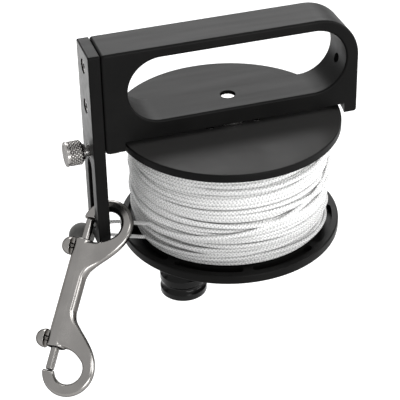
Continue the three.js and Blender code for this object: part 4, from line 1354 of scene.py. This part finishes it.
def softened(values, reach):
    weights = np.hanning(2 * reach + 3)[1:-1]
    padded = np.pad(values, reach, mode="edge")
    return np.convolve(padded, weights / weights.sum(), mode="valid")


def add_core():
    top = CEILING_OF_TURNS + LINE_RADIUS
    bottom = FLOOR_OF_TURNS - LINE_RADIUS
    inner = HUB_RADIUS + GAP
    heights = np.linspace(bottom, top, CORE_ROWS)
    surface = [(float(layer_radius(z)) - CORE_BELOW_LAYER, z) for z in heights]
    core = turned("line_core_wound", [(inner, bottom), *surface, (inner, top)], MIDDLE_FACETS)
    finish_piece(shade(core), "wound", "spool", "line_core")


def lay_round(name, radius, angles, radii, heights, *nodes):
    """Lays a line of the given radius round the spool."""
    outward = np.stack([np.cos(angles), np.sin(angles), np.zeros(len(angles))], axis=-1)
    points = outward * radii[:, None] + np.array([0, 0, 1]) * heights[:, None]
    piece = tube(name, points, radius, TURN_SIDES, outward)
    finish_piece(shade(piece, ROUND_SHARP), "wound", "spool", *nodes)


def add_winding():
    ends = [CEILING_OF_TURNS, FLOOR_OF_TURNS]
    runs = []
    for pitches, sway, seed in TURN_RUNS:
        runs.append(spread_turns(*ends, pitches, sway, seed))
        ends.reverse()
    turns = np.vstack(runs)
    heights = turns.ravel()
    radii = wound_radii(turns).ravel()
    # The last of it climbs from the lower flange to where the free end leaves the spool
    leave = Vector(UPPER_STRAND[0])
    over = leave.to_2d().length
    last = int(LAST_CLIMB * TURN_COLUMNS)
    ease = np.linspace(0, 1, last)
    ease = ease**2 * (3 - 2 * ease)
    heights = np.concatenate([heights, heights[-1] + (leave.z - heights[-1]) * ease])
    climb = radii[-1] + (over - radii[-1]) * ease
    climb = np.maximum(climb, layer_radius(heights[-last:]) + DRAWN_RADIUS * np.sin(np.pi * ease))
    heights = softened(heights, HEIGHT_SOFTENING)
    radii = softened(np.concatenate([radii, climb]), RADIUS_SOFTENING)
    # The turns before it leave room for the free end when the spool is turned
    near = np.clip(STRAND_FULL - np.abs(heights - leave.z) / (STRAND_REACH * LINE_RADIUS), 0, 1)
    near[-last:] = 0
    dip = softened(near, HEIGHT_SOFTENING) * STRAND_DIP * LINE_RADIUS
    radii = np.minimum(radii, over + STRAND_OVER * LINE_RADIUS - dip)
    radii[-3:] = over
    columns_left = len(heights) - 1 - np.arange(len(heights))
    angles = math.atan2(leave.y, leave.x) + columns_left * 2 * np.pi / TURN_COLUMNS
    lay_round("line_winding", DRAWN_RADIUS, angles, radii, heights, "line_turns")


def add_tail():
    """The second strand's end, which comes out from between the outer turns."""
    leave = Vector(LOWER_STRAND[0])
    rise = np.linspace(0, 1, int(TAIL_TURN * TURN_COLUMNS))
    start = float(layer_radius(leave.z)) - TAIL_SINK
    angles = math.atan2(leave.y, leave.x) + rise[::-1] * 2 * np.pi * TAIL_TURN
    radii = start + (leave.to_2d().length - start) * rise**TAIL_EASE
    heights = leave.z + TAIL_DROP * (1 - rise)
    lay_round("line_winding_tail", LINE_RADIUS, angles, radii, heights)


# Bolt snap

def snap_matrix():
    across = Vector((math.cos(SNAP_YAW), math.sin(SNAP_YAW), 0))
    inward = Vector((-math.sin(SNAP_YAW), math.cos(SNAP_YAW), 0))
    along = Vector((0, 0, math.cos(SNAP_TILT))) + inward * math.sin(SNAP_TILT)
    flat = Matrix((across, along, across.cross(along))).transposed()
    return Matrix.Translation(SNAP_CENTRE) @ (flat @ Matrix.Rotation(-SNAP_LEAN, 3, "Z")).to_4x4()


def half_outline():
    """The outline's upper half, from the window's floor round the ring and down the outside."""
    tip_end = BOLT_TIP + GAP
    window_start = -math.asin(min(1, RING_INNER / (RING_REACH - WINDOW_FLOOR)))
    window_end = math.pi - math.asin((tip_end - RING_REACH) / RING_INNER)
    middle = (RING_OFFSET, RING_REACH)
    window = arc(middle, RING_INNER, window_start, window_end, steps=60)
    bend = []
    start = Vector((BARREL_RADIUS, WINDOW_FLOOR))
    corner = Vector((RING_OFFSET, WINDOW_FLOOR))
    for t in np.linspace(0, 1, 9)[:-1]:
        place = (1 - t) ** 2 * start + 2 * t * (1 - t) * corner + t**2 * Vector(window[0])
        bend.append(tuple(place))
    outer_arc = arc(middle, RING_OUTER, RING_START, RING_END, steps=90)
    shoulder = [(side * (RING_OFFSET + RING_OUTER), up * RING_REACH) for side, up in SHOULDER_SHARES]
    fine = smooth_route([(x, y, 0) for x, y in (outer_arc[-1], *shoulder)], OUTLINE_SPACING)[0]
    outside = [tuple(place) for place in fine[1:, :2]]
    floor_corner = (-PLATE_LEFT, WINDOW_FLOOR)
    hook_tip = (-HOOK_TIP_LEFT, tip_end)
    return [floor_corner, *bend, *window, hook_tip, *outer_arc, *outside]


def outline_distance(outline, xs, ys):
    """Distance of grid points from a closed outline, negative inside it."""
    first = np.array(outline)
    second = np.roll(first, -1, axis=0)
    gx, gy = np.meshgrid(xs, ys, indexing="ij")
    nearest = np.full(gx.shape, np.inf)
    inside = np.zeros(gx.shape, bool)
    for (ax, ay), (bx, by) in zip(first, second):
        ex, ey = bx - ax, by - ay
        span = ex * ex + ey * ey
        if span < 1e-18:
            continue
        t = np.clip(((gx - ax) * ex + (gy - ay) * ey) / span, 0, 1)
        nearest = np.minimum(nearest, (gx - ax - t * ex) ** 2 + (gy - ay - t * ey) ** 2)
        if ay != by:
            crosses = (ay > gy) != (by > gy)
            inside ^= crosses & (gx < ax + (gy - ay) * ex / ey)
    return np.where(inside, -1, 1) * np.sqrt(nearest)


def smooth_union(first, second, blend):
    mixed = np.clip(0.5 + 0.5 * (second - first) / blend, 0, 1)
    return second + (first - second) * mixed - blend * mixed * (1 - mixed)


def rounded_cut(side, end, edge):
    """Distance from a body bounded by two faces that meet in a rounded edge."""
    side = side + edge
    end = end + edge
    outside = np.sqrt(np.maximum(side, 0) ** 2 + np.maximum(end, 0) ** 2)
    return outside + np.minimum(np.maximum(side, end), 0) - edge


def snap_distance(outline):
    """Makes the function that gives how far points are from the body's surface, negative inside."""
    step = GRID_STEP * MM
    xs = np.arange(*GRID_SPAN_X, GRID_STEP) * MM
    ys = np.arange(*GRID_SPAN_Y, GRID_STEP) * MM
    flat = outline_distance(outline, xs, ys)
    leaves = BARREL_RADIUS * math.sin(FACE_SLOPE)

    def distance(points):
        x, y, z = points.T
        fx = np.clip((x - xs[0]) / step, 0, len(xs) - 1.001)
        fy = np.clip((y - ys[0]) / step, 0, len(ys) - 1.001)
        i, j = fx.astype(int), fy.astype(int)
        tx, ty = fx - i, fy - j
        side = (
            flat[i, j] * (1 - tx) * (1 - ty) + flat[i + 1, j] * tx * (1 - ty)
            + flat[i, j + 1] * (1 - tx) * ty + flat[i + 1, j + 1] * tx * ty
        )
        in_ring = np.clip((np.abs(y) - RING_BEGINS) / RING_BLEND, 0, 1)
        in_ring = in_ring**2 * (3 - 2 * in_ring)
        # A flat face leaves the top of the barrel and slopes down to the plate
        face = (BARREL_RADIUS - x * math.sin(FACE_SLOPE)) / math.cos(FACE_SLOPE)
        over_barrel = np.sqrt(BARREL_RADIUS**2 - np.clip(x, -PLATE_LEFT, leaves) ** 2)
        face = np.where(x < leaves, over_barrel, face)
        half = -smooth_union(-face, -PLATE_THICK / 2, FACE_BLEND)
        half = half * (1 - in_ring) + PLATE_THICK / 2 * in_ring
        plate = rounded_cut(side, np.abs(z) - half, PLATE_EDGE_ROUND + RING_EDGE_MORE * in_ring)
        barrel = rounded_cut(np.hypot(x, z) - BARREL_RADIUS, np.abs(y) - BARREL_END, BARREL_EDGE)
        barrel = np.maximum(barrel, x - (BARREL_RIGHT + BARREL_FADE * in_ring))
        return smooth_union(plate, barrel, BODY_BLEND + RING_BLEND_MORE * in_ring)

    return distance


def snap_body_mesh(outline, distance):
    """An even mesh of the body, moved onto its surface."""
    body = prism("snap_body_polished", outline, -PLATE_THICK / 2, PLATE_THICK / 2)
    combine(body, lengthwise(rod(BARREL_RADIUS, -BARREL_END, BARREL_END, 64), -1), "UNION")
    remesh = body.modifiers.new("even", "REMESH")
    remesh.mode = "VOXEL"
    remesh.voxel_size = VOXEL
    bake(body)
    points = get_points(body)
    for _ in range(FIT_ROUNDS):
        here = distance(points)
        ahead = [distance(points + offset) for offset in np.eye(3) * FIT_NUDGE]
        slope = np.stack([(there - here) / FIT_NUDGE for there in ahead], axis=-1)
        size = (slope**2).sum(axis=1)
        step = np.clip(here / np.maximum(size, FIT_FLATTEST), -FIT_STEP, FIT_STEP)
        points -= step[:, None] * slope
    set_points(body, points)
    return body


def shade_by_shape(body, distance, place):
    """Moves the body to its place, shaded by its shape and, on the walls cut into it, by its faces."""
    mesh = body.data
    mesh.shade_smooth()
    mesh.set_sharp_from_angle(angle=math.radians(48))
    owners = np.zeros(len(mesh.loops), np.int32)
    mesh.loops.foreach_get("vertex_index", owners)
    faced = np.zeros(len(mesh.loops) * 3, np.float32)
    mesh.corner_normals.foreach_get("vector", faced)
    faced = faced.reshape(-1, 3)
    points = get_points(body)
    sides = np.eye(3) * SHADE_NUDGE
    slope = np.stack([distance(points + side) - distance(points - side) for side in sides], axis=-1)
    slope /= np.maximum(np.linalg.norm(slope, axis=1, keepdims=True), 1e-12)
    shaped = slope[owners]
    follows = (np.abs(distance(points)) < ON_SHAPE)[owners]
    follows &= (shaped * faced).sum(axis=1) > math.cos(FACE_TURN)
    normals = np.where(follows[:, None], shaped, faced) @ np.array(place.to_3x3()).T
    mesh.transform(place)
    mesh.normals_split_custom_set(normals.tolist())


def lengthwise(piece, end=1):
    """Lays a piece made along Z along the bolts' axis, for the upper end or turned over for the lower."""
    piece.data.transform(Matrix.Rotation(-end * math.pi / 2, 4, "X"))
    return piece


def add_snap_body(place):
    upper = half_outline()
    outline = upper + [(x, -y) for x, y in reversed(upper)]
    distance = snap_distance(outline)
    body = snap_body_mesh(outline, distance)
    half = THUMB_NECK + GAP
    slot = rounded_rectangle(
        -half, half, THUMB_REACH - BOLT_TRAVEL - half, THUMB_REACH + half, (half,) * 4, steps=12)
    for end in (1, -1):
        combine(body, lengthwise(rod(BOLT_RADIUS + GAP, BARREL_MIDDLE, BARREL_END + CUT_OVERRUN), end))
        # The slot is drawn as (z, y) and pulled along x
        cutter = prism("cutter", slot, -BARREL_RADIUS - CUT_OVERRUN, 0)
        cutter.data.transform(Matrix(((0, 0, 1, 0), (0, end, 0, 0), (1, 0, 0, 0), (0, 0, 0, 1))))
        combine(body, clean(cutter))
    shade_by_shape(body, distance, place)
    finish_piece(body, "polished", "snap", "snap_body")


def add_bolt(name, end, place):
    low = BOLT_TIP - BOLT_LENGTH
    bolt = lathe(f"{name}_turned", [
        (0, low), (BOLT_RADIUS, low, SMALL_EDGE), (BOLT_RADIUS, BOLT_TIP, BOLT_NOSE), (0, BOLT_TIP)])
    lengthwise(bolt, end).data.transform(place)
    finish_piece(shade(bolt), "polished", name, name)


def add_thumb(name, end, place, rides):
    neck = BOLT_RADIUS + GAP
    cap = neck + THUMB_NECK_LENGTH
    dome = []
    for angle in np.linspace(DOME_START, math.pi / 2, DOME_POINTS):
        radius = THUMB_CAP * math.cos(angle) ** DOME_POWER
        dome.append((radius, cap + THUMB_CAP_HEIGHT * math.sin(angle)))
    dome[-1] = (0, dome[-1][1])
    thumb = lathe(f"{name}_turned", [
        (0, neck), (THUMB_NECK, neck), (THUMB_NECK, cap + THUMB_FLARE, THUMB_FLARE_EDGE),
        (THUMB_CAP - THUMB_CAP_RIM, cap, FINE_EDGE), (THUMB_CAP, cap, FINE_EDGE), *dome], facets=56)
    thumb.data.transform(Matrix.Rotation(-math.pi / 2, 4, "Y"))
    moved(thumb, y=end * THUMB_REACH)
    thumb.data.transform(place)
    finish_piece(shade(thumb), "polished", rides, name)


def add_spring(name, end, place):
    """A coil with a straight stub at each end, between the barrel's middle and its bolt."""
    low = BARREL_MIDDLE + GAP
    high = BOLT_TIP - BOLT_LENGTH - GAP
    run = 2 * SPRING_WIRE
    turns = np.linspace(0, 2 * np.pi * SPRING_CURLS, SPRING_STEPS * SPRING_CURLS + 1)
    climb = np.linspace(low + run, high - run, len(turns))
    across = SPRING_RADIUS * np.cos(turns)
    out = end * SPRING_RADIUS * np.sin(turns)
    coil = np.stack([across, end * climb, out], axis=-1)
    spring = tube(f"{name}_wound", coil, SPRING_WIRE, SPRING_SIDES, coil * np.array([1, 0, 1]))
    for tip, toward in ((coil[0], low), (coil[-1], high)):
        stub_low, stub_high = sorted((abs(tip[1]), toward))
        stub = lengthwise(rod(SPRING_WIRE, stub_low, stub_high, 12), end)
        combine(spring, moved(stub, tip[0], 0, tip[2]), "UNION")
    spring.data.transform(place)
    finish_piece(shade(spring, ROUND_SHARP), "bright", "snap", name)
    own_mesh(spring)


def add_snap():
    place = snap_matrix()
    add_snap_body(place)
    for name, end in (("upper", 1), ("lower", -1)):
        bolt = f"snap_bolt_{name}"
        add_bolt(bolt, end, place)
        add_thumb(f"snap_thumb_{name}", end, place, bolt)
        add_spring(f"snap_spring_{name}", end, place)


add_core()
add_winding()
add_tail()
add_snap()


# Studio

WORLD_HORIZON = 1.0
WORLD_TOP = 0.4
FLOOR_HEIGHT = -0.5
FLOOR_HALF = 6
FLOOR_GREY = 0.36
FLOOR_GLOW = 0.88
WHITE = (1, 1, 1, 1)
MIDDLE = Vector((-0.01, -0.01, -0.07))

# Soft boxes that face the reel: place, size and power
LAMPS = {
    "right_box": ((1.0, -0.45, 0.35), (0.6, 0.9), 9),
    "front_box": ((0.31, -0.72, 0.97), (0.6, 0.35), 3),
    "low_box": ((0.3, -1.25, 0.02), (0.8, 0.5), 9),
    "back_box": ((0.33, 1.1, 0.7), (1.1, 0.7), 14.5),
    "under_box": ((-0.33, 0.72, -0.47), (0.5, 0.5), 1.8),
}


def seen_ray(made):
    """1 for a ray from the camera, off a gloss or through glass."""
    paths = add_node(made, "ShaderNodeLightPath").outputs
    seen = paths["Is Camera Ray"]
    for kind in ("Is Glossy Ray", "Is Transmission Ray"):
        seen = add_node(made, "ShaderNodeMath", seen, paths[kind], operation="MAXIMUM").outputs[0]
    return seen


def add_world():
    """White for every ray that is seen, and for the rest a light that weakens towards the top."""
    world = bpy.data.worlds.new("studio")
    bpy.context.scene.world = world
    world.use_nodes = True
    nodes = world.node_tree.nodes
    place = add_node(world, "ShaderNodeTexCoord").outputs["Generated"]
    height = add_node(world, "ShaderNodeSeparateXYZ", place).outputs["Z"]
    rise = add_node(world, "ShaderNodeMapRange", height).outputs["Result"]
    level = add_node(world, "ShaderNodeMath", rise, operation="MULTIPLY_ADD")
    level.inputs[1].default_value = WORLD_TOP - WORLD_HORIZON
    level.inputs[2].default_value = WORLD_HORIZON
    lit = add_node(world, "ShaderNodeBackground", Color=WHITE)
    link(world, level.outputs[0], lit.inputs["Strength"])
    shown = nodes["Background"]
    shown.inputs["Color"].default_value = WHITE
    shown.inputs["Strength"].default_value = 1
    mix = add_node(world, "ShaderNodeMixShader", seen_ray(world), lit.outputs[0], shown.outputs[0])
    link(world, mix.outputs[0], nodes["World Output"].inputs["Surface"])


def add_floor():
    """Keeps the reel's shadow and shows white where nothing shades it."""
    signs = ((-1, -1), (1, -1), (1, 1), (-1, 1))
    corners = [(x * FLOOR_HALF, y * FLOOR_HALF, FLOOR_HEIGHT) for x, y in signs]
    floor = add_mesh("studio_floor", corners, [(0, 1, 2, 3)])
    made = new_material("studio_floor", (FLOOR_GREY,) * 3, roughness=0.9, specular=0.1)
    nodes = made.node_tree.nodes
    shader = nodes["Principled BSDF"].outputs["BSDF"]
    glow = add_node(made, "ShaderNodeEmission", Color=WHITE, Strength=FLOOR_GLOW).outputs[0]
    both = add_node(made, "ShaderNodeAddShader", shader, glow).outputs[0]
    mix = add_node(made, "ShaderNodeMixShader", seen_ray(made), shader, both)
    link(made, mix.outputs[0], nodes["Material Output"].inputs["Surface"])
    floor.data.materials.append(made)


def add_lamp(name, place, size, power):
    data = bpy.data.lights.new(name, "AREA")
    data.shape = "RECTANGLE"
    data.size, data.size_y = size
    data.energy = power
    lamp = add_object(name, data)
    lamp.location = place
    lamp.rotation_euler = (MIDDLE - Vector(place)).to_track_quat("-Z", "Y").to_euler()


bpy.context.scene.view_settings.view_transform = "Standard"
add_world()
add_floor()
for lamp_name, lamp_values in LAMPS.items():
    add_lamp(lamp_name, *lamp_values)
